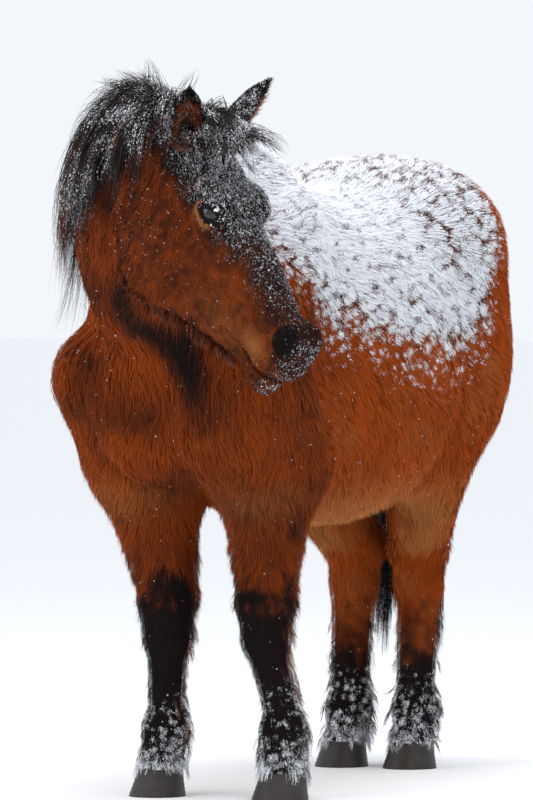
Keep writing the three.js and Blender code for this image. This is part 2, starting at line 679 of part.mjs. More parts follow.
// Hooves: oblique cones with a flat sole and a cut heel.
function makeHoof([x, y]) {
  const cone = new THREE.CylinderGeometry(48, 62, HOOF_HEIGHT, 18, 1).rotateX(Math.PI / 2);
  cone.translate(0, 0, HOOF_HEIGHT / 2);
  const slope = new THREE.Matrix4().set(1, 0, 0, x, 0, 1.08, 0.3, y - 8, 0, 0, 1, 0, 0, 0, 0, 1);
  return below(solidOf(cone.applyMatrix4(slope)), [x, y + 50, 0], [0, 1, -0.1], 0);
}

// Locks
const gradient = (field, p) => {
  const e = 2;
  return new THREE.Vector3(
    field(p.x + e, p.y, p.z) - field(p.x - e, p.y, p.z),
    field(p.x, p.y + e, p.z) - field(p.x, p.y - e, p.z),
    field(p.x, p.y, p.z + e) - field(p.x, p.y, p.z - e),
  ).normalize();
};

// Moves a point out of or into a field until it is at a height above its surface.
function liftTo(field, p, height) {
  for (let i = 0; i < 4; i++) p.addScaledVector(gradient(field, p), (height - field(p.x, p.y, p.z)) * 0.9);
  return p;
}

// A lock's path: it sets off along lie, is drawn towards fall, and lies on the surface of a field.
function drape(field, root, { lie, fall, pull, length, lift, steps, hug = 0 }) {
  const p = new THREE.Vector3(...root);
  const direction = new THREE.Vector3(...lie).normalize();
  const down = new THREE.Vector3(...fall).normalize();
  const path = [];
  for (let i = 0; i <= steps; i++) {
    const t = i / steps;
    const height = lift(t);
    const out = gradient(field, p);
    if (i > 0) {
      direction.lerp(down, pull);
      const near = field(p.x, p.y, p.z) < height + 6;
      if (near) direction.addScaledVector(out, -Math.min(direction.dot(out), 0));
      direction.normalize();
      p.addScaledVector(direction, length / steps);
      const clear = field(p.x, p.y, p.z) - height;
      if (clear < 0) liftTo(field, p, height);
      else p.addScaledVector(gradient(field, p), -clear * hug);
    } else liftTo(field, p, height);
    path.push({ at: p.clone(), out: gradient(field, p) });
  }
  return path;
}

// A closed, flat, tapered lock along a path: four-sided sections and a pointed tip.
function lockSolid(path, width, thick) {
  const points = [];
  const faces = [];
  const last = path.length - 1;
  path.forEach(({ at, out }, i) => {
    if (i === last) {
      points.push(at.toArray());
      return;
    }
    const along = path[i + 1].at.clone().sub(path[Math.max(i - 1, 0)].at).normalize();
    const side = new THREE.Vector3().crossVectors(along, out).normalize();
    const up = new THREE.Vector3().crossVectors(side, along);
    const t = i / last;
    const half = (width / 2) * (0.7 + 0.6 * Math.sin(Math.PI * Math.min(t + 0.12, 0.75))) * (1 - t ** 2.2 * 0.8);
    const deep = (thick / 2) * (1 - 0.5 * t);
    for (const [a, b] of [[half, 0], [0, deep], [-half, 0], [0, -deep]])
      points.push(at.clone().addScaledVector(side, a).addScaledVector(up, b).toArray());
  });
  for (let i = 0; i < last - 1; i++)
    for (let k = 0; k < 4; k++) {
      const [a, b] = [4 * i + k, 4 * i + ((k + 1) % 4)];
      faces.push([a, b, a + 4], [b, b + 4, a + 4]);
    }
  const [root, end, tip] = [0, 4 * (last - 1), 4 * last];
  for (let k = 0; k < 4; k++) faces.push([end + k, end + ((k + 1) % 4), tip]);
  faces.push([root, root + 2, root + 1], [root, root + 3, root + 2]);
  const solid = solidFrom({ points, faces });
  return solid.volume() > 0 ? solid : solidFrom({ points, faces: faces.map(([a, b, c]) => [a, c, b]) });
}

// A tapered closed cord through points, as the fleshy root that locks grow from.
function cordSolid(points, radiusAt, sides = 8) {
  const curve = new THREE.CatmullRomCurve3(points.map((p) => new THREE.Vector3(...p)));
  const steps = points.length * 2;
  const frames = curve.computeFrenetFrames(steps);
  const made = [];
  const faces = [];
  for (let i = 0; i <= steps; i++)
    for (let k = 0; k < sides; k++) {
      const angle = (2 * Math.PI * k) / sides;
      const radius = radiusAt(i / steps);
      made.push(
        curve.getPointAt(i / steps)
          .addScaledVector(frames.normals[i], radius * Math.cos(angle))
          .addScaledVector(frames.binormals[i], radius * Math.sin(angle))
          .toArray(),
      );
    }
  for (let i = 0; i < steps; i++)
    for (let k = 0; k < sides; k++) {
      const [a, b] = [i * sides + k, i * sides + ((k + 1) % sides)];
      faces.push([a, b, a + sides], [b, b + sides, a + sides]);
    }
  for (let k = 1; k < sides - 1; k++) faces.push([0, k + 1, k], [steps * sides, steps * sides + k, steps * sides + k + 1]);
  const solid = solidFrom({ points: made, faces });
  return solid.volume() > 0 ? solid : solidFrom({ points: made, faces: faces.map(([a, b, c]) => [a, c, b]) });
}

// The crest of the neck, from the poll back to the withers
const crestSection = (t) => neckSections[Math.round((1 - t) * NECK_SECTIONS)];
const crestAt = (t, height) => {
  const s = crestSection(t);
  return liftTo(foreBody, s.at.clone().addScaledVector(s.crest, neckHalfTall(s.t) + 30), height);
};
const MANE = { places: 15, right: 400, left: 230, width: 60, thick: 12, back: 0.88 };

function makeMane() {
  const random = seeded(11);
  const root = (t) => crestAt(t, 24 - 16 * t).toArray();
  const pieces = [cordSolid([0.01, 0.2, 0.42, 0.65, 0.86].map(root), (t) => 34 - 20 * t)];
  for (let i = 0; i < MANE.places; i++) {
    const t = 0.02 + (MANE.back * i) / (MANE.places - 1);
    for (const sign of [1, -1]) {
      const right = sign > 0;
      const aside = crestSection(t).side.clone().multiplyScalar(sign);
      const long = (right ? MANE.right : MANE.left) * (0.85 + 0.3 * random()) * (1 - 0.25 * t);
      const path = drape(foreBody, crestAt(t, 36 - 24 * t).toArray(), {
        lie: [aside.x, aside.y + 0.25 * (random() - 0.5), 0.35],
        fall: [aside.x * 0.2, 0.1 + 0.2 * random(), -1],
        pull: 0.42,
        length: long,
        hug: 0.7,
        lift: (s) => 8 + (right ? 16 : 12) * Math.sin(Math.PI * Math.min(s + 0.25, 1)) + (i % 2) * 9,
        steps: 5,
      });
      pieces.push(lockSolid(path, MANE.width * (0.85 + 0.3 * random()), MANE.thick));
    }
  }
  return union(pieces);
}

const FORELOCK = { places: 11, length: 175, width: 46, thick: 12 };

function makeForelock() {
  const random = seeded(5);
  const pieces = [cordSolid([inBody([6, -38, 40]), inBody([8, 0, 56]), inBody([6, 38, 40])], () => 30)];
  for (let i = 0; i < FORELOCK.places; i++) {
    const fan = -1 + (2 * i) / (FORELOCK.places - 1);
    const start = inBody([10, fan * 38, 68 - 12 * fan * fan]);
    const path = drape(headAndNeck, start, {
      lie: turned([0.4, fan * 1.1, 0.75]),
      fall: turned([1, fan * 0.55 + 0.15, -0.3]),
      pull: 0.4,
      length: FORELOCK.length * (0.85 + 0.3 * random()) * (1 - 0.25 * Math.abs(fan)),
      lift: (s) => 10 + 14 * Math.sin(Math.PI * Math.min(s + 0.3, 1)) + (i % 2) * 9,
      hug: 0.5,
      steps: 5,
    });
    pieces.push(lockSolid(path, FORELOCK.width, FORELOCK.thick));
  }
  return union(pieces);
}

const DOCK = [[0, 1120, 1215], [0, 1165, 1190], [0, 1192, 1125], [0, 1200, 1040], [0, 1202, 950]];
const TAIL = { rows: 3, across: 4, width: 56, thick: 18 };

function makeTail() {
  const random = seeded(23);
  const pieces = [cordSolid(DOCK, (t) => 36 - 18 * t, 8)];
  const dock = new THREE.CatmullRomCurve3(DOCK.map((p) => new THREE.Vector3(...p)));
  for (let r = 0; r < TAIL.rows; r++)
    for (let k = 0; k < TAIL.across; k++) {
      const start = dock.getPointAt(0.3 + (0.62 * r) / (TAIL.rows - 1));
      const fan = -1 + (2 * k) / (TAIL.across - 1);
      const long = start.z - TAIL_TIP_HEIGHT - 60 * random() - 130 * Math.abs(fan) * random();
      const path = drape(body, [start.x + 14 * fan, start.y, start.z], {
        lie: [fan * 0.3, 0.5, -0.4],
        fall: [fan * 0.02, 0.02, -1],
        pull: 0.6,
        length: long,
        lift: () => 12 + 9 * (TAIL.rows - 1 - r) + 5 * (k % 2),
        steps: 6,
      });
      path.forEach((p) => p.out.set(fan * 0.8, 1, 0).normalize());
      pieces.push(lockSolid(path, TAIL.width * (0.9 + 0.3 * random()), TAIL.thick));
    }
  return union(pieces);
}

// Feather: the long hair behind a cannon and fetlock, fused with the lower leg.
function feather(name, solid, { fetlock }, top) {
  const random = seeded(name.length * 7 + (name.endsWith("left") ? 1 : 2));
  const rows = 3;
  const leg = legs[name];
  const pieces = [solid];
  for (let r = 0; r < rows; r++) {
    const height = fetlock[2] - 8 + ((top - fetlock[2]) * (rows - 1 - r)) / (rows - 1);
    for (const fan of [-0.45, 0.45]) {
      const root = new THREE.Vector3(fetlock[0] + 26 * fan, fetlock[1] + 60, height);
      liftTo(leg, root, -9);
      const path = drape(leg, root.toArray(), {
        lie: [fan * 0.5, 0.9, -0.6],
        fall: [0, 0.1, -1],
        pull: 0.4,
        length: 84 + 20 * random(),
        lift: (s) => -9 + 26 * s,
        steps: 3,
      });
      path.forEach((p) => (p.at.z = Math.max(p.at.z, 10)));
      pieces.push(lockSolid(path, 40, 12));
    }
  }
  return largest(union(pieces));
}

// Nodes
const parts = {};
const torso = makeTorso();
const neck = makeNeck();
let head = makeHead();
for (const side of ["left", "right"]) {
  const { eye, socket, slit } = eyeParts(side === "left" ? 1 : -1);
  head = head.subtract(socket).subtract(slit);
  parts[`eye_${side}`] = eye;
}
parts.head = largest(head);
parts.neck = neck;
parts.torso = torso;
Object.assign(parts, makeLeg("foreleg_left", KNEE_CUT), makeLeg("foreleg_right", KNEE_CUT));
Object.assign(parts, makeLeg("hindleg_left", HOCK_CUT), makeLeg("hindleg_right", HOCK_CUT));
for (const side of ["left", "right"]) {
  parts[`hoof_front_${side}`] = makeHoof(FORE[side].hoof);
  parts[`hoof_hind_${side}`] = makeHoof(HIND[side].hoof);
  parts[`foreleg_${side}_lower`] = feather(`foreleg_${side}`, parts[`foreleg_${side}_lower`], FORE[side], 310);
  parts[`hindleg_${side}_lower`] = feather(`hindleg_${side}`, parts[`hindleg_${side}_lower`], HIND[side], 270);
}
const flesh = grown(parts.head).add(grown(neck)).add(grown(torso));
for (const side of ["left", "right"]) parts[`ear_${side}`] = largest(makeEar(side).subtract(grown(parts.head)));
const ears = roomAround(parts.ear_left).add(roomAround(parts.ear_right));
parts.mane = largest(makeMane().subtract(flesh).subtract(ears));
const forelock = makeForelock().subtract(flesh).subtract(roomAround(parts.head)).subtract(roomAround(neck));
parts.forelock = largest(forelock.subtract(ears).subtract(grown(parts.mane)));
parts.tail = largest(makeTail().subtract(flesh));

// Colours
const FINISH = {
  coat: [0x7a3518, 0.85],
  points: [0x1d1715, 0.85],
  hair: [0x171312, 0.7],
  eye: [0x1a1210, 0.15],
  hoof: [0x2b2624, 0.6],
};
const slotOf = (name) => {
  if (name.startsWith("eye")) return "eye";
  if (name.startsWith("hoof")) return "hoof";
  if (["mane", "forelock", "tail"].includes(name)) return "hair";
  return name.endsWith("_lower") ? "points" : "coat";
};

const horse = new THREE.Group();
for (const [name, solid] of Object.entries(parts)) {
  const [color, roughness] = FINISH[slotOf(name)];
  const material = new THREE.MeshStandardMaterial({ color, roughness, metalness: 0 });
  const mesh = new THREE.Mesh(geometryOf(settled(solid)), material);
  mesh.name = name;
  horse.add(mesh);
}
const bounds = new THREE.Box3().setFromObject(horse);
const centre = bounds.getCenter(new THREE.Vector3());
horse.position.set(-centre.x, -centre.y, 0);

export default horse;
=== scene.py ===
"""A still, life-size bay Icelandic horse in its winter coat, with snow on its back.

The file is laid out as a Blender add-on and is run as a script. Skin, coat and hair are worked out in
the horse's own frame, in millimetres: the origin is on the ground near the middle of the fore feet,
the horse faces -Y and its left side is +X. Each piece is then put in the CAD frame, in metres.
"""

import math
from functools import lru_cache
from itertools import product

import bpy
import numpy as np
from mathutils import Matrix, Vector
from mathutils.kdtree import KDTree


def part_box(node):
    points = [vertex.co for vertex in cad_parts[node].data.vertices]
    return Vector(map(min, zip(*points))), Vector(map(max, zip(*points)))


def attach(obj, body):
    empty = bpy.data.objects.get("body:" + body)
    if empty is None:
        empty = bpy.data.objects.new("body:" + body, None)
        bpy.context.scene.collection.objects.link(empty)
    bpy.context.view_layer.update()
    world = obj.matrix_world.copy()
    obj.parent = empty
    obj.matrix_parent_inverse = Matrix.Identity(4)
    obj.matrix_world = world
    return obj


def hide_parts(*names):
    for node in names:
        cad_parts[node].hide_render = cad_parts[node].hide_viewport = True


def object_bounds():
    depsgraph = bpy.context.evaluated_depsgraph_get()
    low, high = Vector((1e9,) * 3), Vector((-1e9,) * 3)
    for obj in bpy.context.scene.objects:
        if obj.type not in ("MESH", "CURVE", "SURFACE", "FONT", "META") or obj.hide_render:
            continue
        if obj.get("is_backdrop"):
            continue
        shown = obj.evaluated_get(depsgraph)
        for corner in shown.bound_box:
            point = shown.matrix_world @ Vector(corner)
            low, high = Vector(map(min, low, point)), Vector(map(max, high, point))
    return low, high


bl_info = {
    "name": "Icelandic Horse",
    "version": (1, 0, 0),
    "blender": (4, 5, 0),
    "location": "3D View > Sidebar > Horse",
    "description": "Builds the skin, winter coat, long hair, eyes and hooves of a bay Icelandic horse",
    "category": "Add Mesh",
}

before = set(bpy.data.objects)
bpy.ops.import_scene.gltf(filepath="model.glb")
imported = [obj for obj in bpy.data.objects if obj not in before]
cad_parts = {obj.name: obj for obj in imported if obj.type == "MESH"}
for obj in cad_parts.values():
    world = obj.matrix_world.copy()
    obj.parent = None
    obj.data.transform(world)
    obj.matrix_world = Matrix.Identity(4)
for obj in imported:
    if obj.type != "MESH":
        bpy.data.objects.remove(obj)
CAD_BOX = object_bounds()

# Driving dimensions of the body, in millimetres and degrees
HEAD_HEADING, HEAD_PITCH, HEAD_ROLL = 74.0, 52.0, 4.0
POLL = np.array([159.0, -500.0, 1406.0])
EYE = np.array([205.0, 70.0, -30.0])  # along the face, to the side, towards the forehead
EYE_OUTWARD = (0.28, 0.95, 0.12)
EYE_BALL = {"radius": 25.0, "sunk": 3.0}
EYE_OPENING = {"length": 46.0, "upper": 13.5, "lower": 10.5, "tilt": 22.0}
MUZZLE = {"from": 208.0, "share": 0.937}  # in front of "from" the face is shortened to this share
LEAN = 24.0  # how far the upper arms stand to the horse's right
HOOF_HEIGHT = 56.0
HOOF_FORWARD = 8.0  # how far the middle of the sole is in front of the leg's lowest place
BETWEEN_LEGS = 450.0  # the fore legs are in front of this, and the hind legs behind it
FAR = 1e3
UP = np.array([0.0, 0.0, 1.0])
SMOOTH = 2.0  # the reach of a slope that passes over small bumps


# Small helpers for arrays of points and vectors
def unit(v):
    return v / np.maximum(np.linalg.norm(v, axis=-1, keepdims=True), 1e-9)


def dot(a, b):
    return np.sum(a * b, axis=-1, keepdims=True)


def ramp(x, low, high):
    """Rises smoothly from 0 at low to 1 at high."""
    t = np.clip((x - low) / (high - low), 0, 1)
    return t * t * (3 - 2 * t)


def bell(x, middle, spread):
    """1 in the middle, and near 0 at twice the spread from it."""
    return np.exp(-(((x - middle) / spread) ** 2))


def mix(a, b, share):
    return a + (b - a) * share


def turned_about(v, axis, angle):
    """Vectors turned about axes of unit length by angles in radians."""
    c, s = np.cos(angle)[:, None], np.sin(angle)[:, None]
    return v * c + np.cross(axis, v) * s + axis * dot(axis, v) * (1 - c)


# Noise that is the same in each run
def lattice(cell, seed):
    """A number from 0 to 1 for each whole-number place."""
    c = cell.astype(np.int64).astype(np.uint32)
    h = (c[..., 0] * np.uint32(73856093)) ^ (c[..., 1] * np.uint32(19349663))
    h = h ^ (c[..., 2] * np.uint32(83492791)) ^ np.uint32(seed * 40503 + 977)
    h = (h ^ (h >> np.uint32(15))) * np.uint32(2246822519)
    h = (h ^ (h >> np.uint32(13))) * np.uint32(3266489917)
    return ((h ^ (h >> np.uint32(16))) & np.uint32(0xFFFFFF)) / float(0xFFFFFF)


def noise(p, size, seed=0):
    """Smooth noise from -1 to 1, with waves about twice the given size."""
    q = p / size
    base = np.floor(q)
    f = q - base
    f = f * f * (3 - 2 * f)
    total = 0
    for corner in product((0, 1), repeat=3):
        share = np.prod(np.where(corner, f, 1 - f), axis=-1)
        total = total + share * lattice(base + corner, seed)
    return total * 2 - 1


def clump_of(p, size, seed):
    """The nearest of the scattered centres that locks of hair draw together at."""
    base = np.floor(p / size)
    centre = p.copy()
    nearest = np.full(len(p), np.inf)
    for step in product((-1, 0, 1), repeat=3):
        cell = base + step
        jitter = np.stack([lattice(cell, seed + k) for k in range(3)], axis=-1)
        place = (cell + jitter) * size
        off = np.sum((p - place) ** 2, axis=-1)
        closer = off < nearest
        nearest[closer] = off[closer]
        centre[closer] = place[closer]
    return centre


# Fields: each gives a rough signed distance in millimetres, below zero inside the flesh
def blend(a, b, k):
    """The union of two fields, with a fillet of about size k."""
    h = np.maximum(k - np.abs(a - b), 0) / k
    return np.minimum(a, b) - h * h * k / 4


def profile(knots):
    """A smooth curve through knots (position, value), level at both ends."""
    at, value = np.array(knots, float).T
    slopes = np.zeros_like(value)
    slopes[1:-1] = (value[2:] - value[:-2]) / (at[2:] - at[:-2])

    def curve(x):
        x = np.clip(x, at[0], at[-1])
        i = np.clip(np.searchsorted(at, x, side="right") - 1, 0, len(at) - 2)
        span = at[i + 1] - at[i]
        t = (x - at[i]) / span
        s = 1 - t
        rise = slopes[i] * t * s * s - slopes[i + 1] * t * t * s
        return value[i] * (1 + 2 * t) * s * s + value[i + 1] * t * t * (3 - 2 * t) + span * rise

    return curve


def mass(centre, radii, lean=0):
    """A mass with three radii, leaned back by some degrees about the left-right axis."""
    c, s = math.cos(math.radians(lean)), math.sin(math.radians(lean))
    rx, ry, rz = radii

    def field(x, y, z):
        dx, dy, dz = x - centre[0], y - centre[1], z - centre[2]
        ly, lz = c * dy - s * dz, s * dy + c * dz
        near = np.sqrt((dx / rx) ** 2 + (ly / ry) ** 2 + (lz / rz) ** 2)
        steep = np.sqrt((dx / rx**2) ** 2 + (ly / ry**2) ** 2 + (lz / rz**2) ** 2)
        return near * (near - 1) / np.maximum(steep, 1e-9)

    return field


def bone(a, ra, b, rb, width=1.0):
    """A bone with its muscle, from a to b, narrower from side to side than from front to back."""
    ex, ey, ez = (b[0] - a[0]) / width, b[1] - a[1], b[2] - a[2]
    long = ex * ex + ey * ey + ez * ez

    def field(x, y, z):
        dx, dy, dz = (x - a[0]) / width, y - a[1], z - a[2]
        t = np.clip((dx * ex + dy * ey + dz * ez) / long, 0, 1)
        off = np.sqrt((dx - t * ex) ** 2 + (dy - t * ey) ** 2 + (dz - t * ez) ** 2)
        return (off - ra - t * (rb - ra)) * width

    return field


def loft(start, end, cap_start, cap_end, half, low, high, waist, power):
    """A body of changing section along one axis, with rounded ends, widest at its waist height."""

    def field(side, along, up):
        at = np.clip(along, start, end)
        past = np.maximum(np.maximum((start - along) / cap_start, (along - end) / cap_end), 0)
        middle = waist(at)
        tall = np.where(up > middle, high(at) - middle, middle - low(at))
        wide = half(at)
        total = np.abs(side / wide) ** power + np.abs((up - middle) / tall) ** power + past**power
        return (total ** (1 / power) - 1) * np.minimum(wide, tall) * 0.9

    return field


barrel = loft(
    start=-70,
    end=960,
    cap_start=170,
    cap_end=215,
    power=2.25,
    half=profile([(-70, 190), (100, 230), (250, 262), (450, 292), (620, 300), (780, 284), (960, 258)]),
    low=profile([(-70, 668), (100, 604), (250, 578), (450, 558), (620, 562), (780, 612), (960, 720)]),
    high=profile([(-70, 1200), (100, 1330), (250, 1315), (450, 1292), (620, 1303), (780, 1348), (960, 1372)]),
    waist=profile([(-70, 920), (250, 900), (620, 890), (780, 930), (960, 1010)]),
)
withers = mass((0, 120, 1262), (62, 210, 112))
MUSCLES = [
    (mass((82, -168, 850), (104, 92, 172)), 60),
    (mass((132, 900, 1155), (170, 235, 175)), 60),
    (mass((164, 925, 935), (142, 205, 272), -10), 70),
    (mass((104, 1070, 960), (112, 104, 255)), 60),
]


shoulder_blade = mass((150, -20, 1050), (82, 128, 240), 30)
upper_arm = bone((176, -140, 885), 102, (168, 25, 715), 104)


def trunk(x, y, z):
    """Barrel, withers, shoulders, breast and haunches."""
    side = np.abs(x)
    d = blend(barrel(x, y, z), withers(x, y, z), 70)
    d = blend(d, shoulder_blade(side, y, z), 60)
    d = blend(d, upper_arm(np.abs(x + LEAN), y, z), 100)
    for muscle, k in MUSCLES:
        d = blend(d, muscle(side, y, z), k)
    return d


# The neck's curved middle line, a centripetal Catmull-Rom curve
NECK_POINTS = np.array(
    [(0, 70, 1075), (-38, -120, 1140), (-25, -285, 1215), (42, -400, 1275), (125, -458, 1305)], float
)
NECK_SECTIONS = 22
neck_half_tall = profile([(0, 272), (0.3, 262), (0.6, 222), (0.85, 172), (1, 140)])
neck_half_wide = profile([(0, 178), (0.3, 168), (0.6, 146), (0.85, 112), (1, 90)])


def on_curve(points, t):
    """The point at share t of a centripetal Catmull-Rom curve."""
    ends = np.vstack([2 * points[0] - points[1], points, 2 * points[-1] - points[-2]])
    at = min(max(t, 0.0), 1.0) * (len(points) - 1)
    i = min(int(at), len(points) - 2)
    share = at - i
    p0, p1, p2, p3 = ends[i : i + 4]
    d0, d1, d2 = (np.sum((b - a) ** 2) ** 0.25 for a, b in ((p0, p1), (p1, p2), (p2, p3)))
    m1 = ((p1 - p0) / d0 - (p2 - p0) / (d0 + d1) + (p2 - p1) / d1) * d1
    m2 = ((p2 - p1) / d1 - (p3 - p1) / (d1 + d2) + (p3 - p2) / d2) * d1
    c2 = -3 * p1 + 3 * p2 - 2 * m1 - m2
    c3 = 2 * p1 - 2 * p2 + m1 + m2
    return p1 + m1 * share + c2 * share**2 + c3 * share**3


def curve_length(points, steps=200):
    """The length of a curve, from short straight steps."""
    at = [on_curve(points, i / steps) for i in range(steps + 1)]
    return sum(np.linalg.norm(b - a) for a, b in zip(at, at[1:]))


def neck_sections():
    """The middle, direction, side and crest of each section of the neck."""
    made = []
    for i in range(NECK_SECTIONS + 1):
        t = i / NECK_SECTIONS
        along = unit(on_curve(NECK_POINTS, min(t + 1e-4, 1)) - on_curve(NECK_POINTS, max(t - 1e-4, 0)))
        side = unit(np.cross(along, (0, 0, 1)))
        made.append((on_curve(NECK_POINTS, t), along, side, unit(np.cross(side, along))))
    return [np.array(column) for column in zip(*made)]


NECK_AT, NECK_ALONG, NECK_SIDE, NECK_CREST = neck_sections()
NECK_LENGTH = curve_length(NECK_POINTS)


def nearest_section(p):
    """The section of the neck whose middle is nearest."""
    off = [np.sum((p - at) ** 2, axis=-1) for at in NECK_AT]
    return np.argmin(off, axis=0)


def neck(x, y, z):
    """The neck, as ovals across its curved middle line."""
    p = np.stack([x, y, z], axis=-1)
    d = np.full(len(p), FAR)
    # Only the points in a box round the neck are worked out
    near = (y < 480) & (y > -800) & (z > 640) & (np.abs(x) < 520)
    p = p[near]
    i = nearest_section(p)
    off = p - NECK_AT[i]
    ahead = np.sum(off * NECK_ALONG[i], axis=-1)
    t = np.clip(i / NECK_SECTIONS + ahead / NECK_LENGTH, 0, 1)
    past = np.where(i == 0, np.minimum(ahead, 0), np.where(i == NECK_SECTIONS, np.maximum(ahead, 0), 0))
    aside = np.sum(off * NECK_SIDE[i], axis=-1)
    above = np.sum(off * NECK_CREST[i], axis=-1)
    wide, tall = neck_half_wide(t), neck_half_tall(t)
    d[near] = (np.sqrt((aside / wide) ** 2 + (above / tall) ** 2 + (past / wide) ** 2) - 1) * wide
    return d


# The head has a frame of its own: u from the poll to the lips, w to the side, v out of the forehead
def head_axes():
    yaw, pitch, roll = (math.radians(a) for a in (HEAD_HEADING, HEAD_PITCH, HEAD_ROLL))
    heading = np.array([math.sin(yaw), -math.cos(yaw), 0])
    face = heading * math.cos(pitch) - UP * math.sin(pitch)
    left = turned_about(np.cross(UP, heading)[None], face[None], np.array([-roll]))[0]
    return np.array([face, left, np.cross(face, left)])


HEAD_AXES = head_axes()


def to_head(p):
    return (p - POLL) @ HEAD_AXES.T


def face_place(p):
    """Places in the head's frame as its tables give them, before the muzzle is shortened."""
    q = to_head(p)
    q[:, 0] += np.maximum(q[:, 0] - MUZZLE["from"], 0) * (1 / MUZZLE["share"] - 1)
    return q


def from_head(q):
    """Places in the horse's frame, from places in the head's."""
    return np.asarray(q, float) @ HEAD_AXES + POLL


skull = loft(
    start=20,
    end=520,
    cap_start=60,
    cap_end=64,
    power=2.5,
    half=profile(
        [(0, 64), (60, 78), (120, 84), (200, 86), (260, 78), (330, 62), (410, 48), (480, 40), (520, 36)]
    ),
    low=profile(
        [(0, -170), (60, -232), (120, -280), (180, -300), (245, -286), (302, -260), (358, -238), (420, -214)]
        + [(520, -186)]
    ),
    high=profile(
        [(0, 4), (60, 30), (120, 38), (180, 28), (269, 6), (342, 4), (398, -4), (442, -11), (520, -26)]
    ),
    waist=profile([(0, -60), (120, -80), (200, -90), (300, -90), (400, -86), (520, -84)]),
)
FACE_MASSES = [
    (mass((176, 48, -165), (122, 44, 118)), 40),
    (mass((190, 66, -6), (48, 26, 30)), 26),
    (bone((244, 72, -92), 11, (360, 52, -94), 8), 26),
    (mass((532, 25, -54), (38, 19, 40)), 26),
]
upper_lip = mass((550, 0, -98), (38, 35, 36))
lower_lip = mass((530, 0, -164), (46, 33, 28))
eyelids = mass(EYE, (27, 25, 25))
nostril_hole = bone((549, 48, -72), 17, (521, 44, -36), 12)
MOUTH = {"corner": 456, "depth": 6, "spread": 4.5}
mouth_line = profile([(450, -150), (500, -155), (543, -149), (566, -137), (600, -122)])


def eye_frame():
    """The axes of the left eye in the head's frame: along its opening, across it, and outward."""
    outward = unit(np.array(EYE_OUTWARD))
    tilt = np.array([math.radians(-EYE_OPENING["tilt"])])
    along = turned_about(np.array([[1.0, 0, 0]]), outward[None], tilt)[0]
    along = unit(along - outward * np.dot(along, outward))
    return np.array([along, np.cross(outward, along), outward])


EYE_AXES = eye_frame()


def lid_edges(a):
    """How far the opening reaches up and down at a place along it."""
    bow = 1 - (2 * a / EYE_OPENING["length"]) ** 2
    return EYE_OPENING["upper"] * bow, -EYE_OPENING["lower"] * bow


def from_eye(q):
    """Places in the head's frame, seen from the middle of the nearer eye, as if it were the left one."""
    return np.stack([q[:, 0], np.abs(q[:, 1]), q[:, 2]], axis=-1) - EYE


def off_eye(q):
    """How far points in the head's frame are from the nearer eye."""
    return np.linalg.norm(from_eye(q), axis=-1)


def off_lids(q):
    """How far points in the head's frame are from the opening between the lids, along the face."""
    along, across, outward = (from_eye(q) @ EYE_AXES.T).T
    half = EYE_OPENING["length"] / 2
    upper, lower = lid_edges(np.clip(along, 1 - half, half - 1))
    beyond = np.maximum(np.abs(along) - (half - 2), 0)
    beside = np.maximum(np.maximum(across - upper, lower - across), 0)
    inside_head = outward < -6
    return np.hypot(beyond, beside) + 60 * inside_head


def head_shape(u, w, v):
    """The head, with mouth, nostrils and lids, in its own frame."""
    side = np.abs(w)
    d = skull(w, u, v)
    for piece, k in FACE_MASSES:
        d = blend(d, piece(u, side, v), k)
    d = blend(d, upper_lip(u, w, v), 24)
    d = blend(d, lower_lip(u, w, v), 22)
    d = blend(d, eyelids(u, side, v), 16)
    d = -blend(-d, nostril_hole(u, side, v), 8)
    in_mouth = np.clip((u - MOUTH["corner"]) / 14, 0, 1)
    groove = bell(v, mouth_line(u), MOUTH["spread"])
    return d + in_mouth * MOUTH["depth"] * groove


def head(x, y, z):
    q = face_place(np.stack([x, y, z], axis=-1))
    d = np.full(len(q), FAR)
    near = (q[:, 0] > -170) & (q[:, 0] < 700) & (np.abs(q[:, 1]) < 240) & (np.abs(q[:, 2] + 130) < 300)
    d[near] = head_shape(*q[near].T)
    return d


# Legs: the places of each leg's joints, from the body down
LEG_JOINTS = ("top", "bend", "fetlock", "hoof")
LEG_PLACES = {
    "foreleg_right": [(-162, 25, 705), (-108, 2, 368), (-115, 8, 138), (-117, -24, 0)],
    "foreleg_left": [(108, 25, 720), (116, 2, 368), (152, 8, 138), (162, -24, 0)],
    "hindleg_right": [(-168, 820, 735), (-80, 1012, 442), (-80, 985, 130), (-82, 950, 0)],
    "hindleg_left": [(168, 820, 735), (76, 1012, 442), (77, 985, 130), (80, 950, 0)],
}
LEGS = {name: dict(zip(LEG_JOINTS, places)) for name, places in LEG_PLACES.items()}


def moved(p, dx, dy, dz):
    return (p[0] + dx, p[1] + dy, p[2] + dz)


def leg_pieces(name):
    """How softly a leg's pieces join, and the pieces from the body down."""
    top, bend, fetlock, hoof = (LEGS[name][k] for k in ("top", "bend", "fetlock", "hoof"))
    coronet = (hoof[0], hoof[1] + 10, HOOF_HEIGHT - 8)
    if name.startswith("fore"):
        return 26, [
            bone(top, 110, moved(bend, 0, 6, 62), 66, 0.98),
            bone(moved(bend, 0, -2, 30), 60, moved(bend, 0, 0, -32), 53, 1),
            bone(moved(bend, 0, 6, -40), 44, moved(fetlock, 0, 2, 30), 40, 0.95),
            mass(moved(fetlock, 0, 4, -4), (50, 55, 50)),
            bone(fetlock, 42, coronet, 50, 1),
        ]
    return 28, [
        bone(top, 118, moved(bend, 0, 0, 62), 68, 0.95),
        bone(moved(bend, 0, 2, 30), 63, moved(bend, 0, -2, -34), 52, 0.98),
        mass(moved(bend, 0, 40, 46), (30, 30, 52), 12),
        bone(moved(bend, 0, 2, -40), 50, moved(fetlock, 0, 2, 30), 44, 0.98),
        mass(moved(fetlock, 0, 4, -4), (50, 54, 48)),
        bone(fetlock, 42, coronet, 50, 1),
    ]


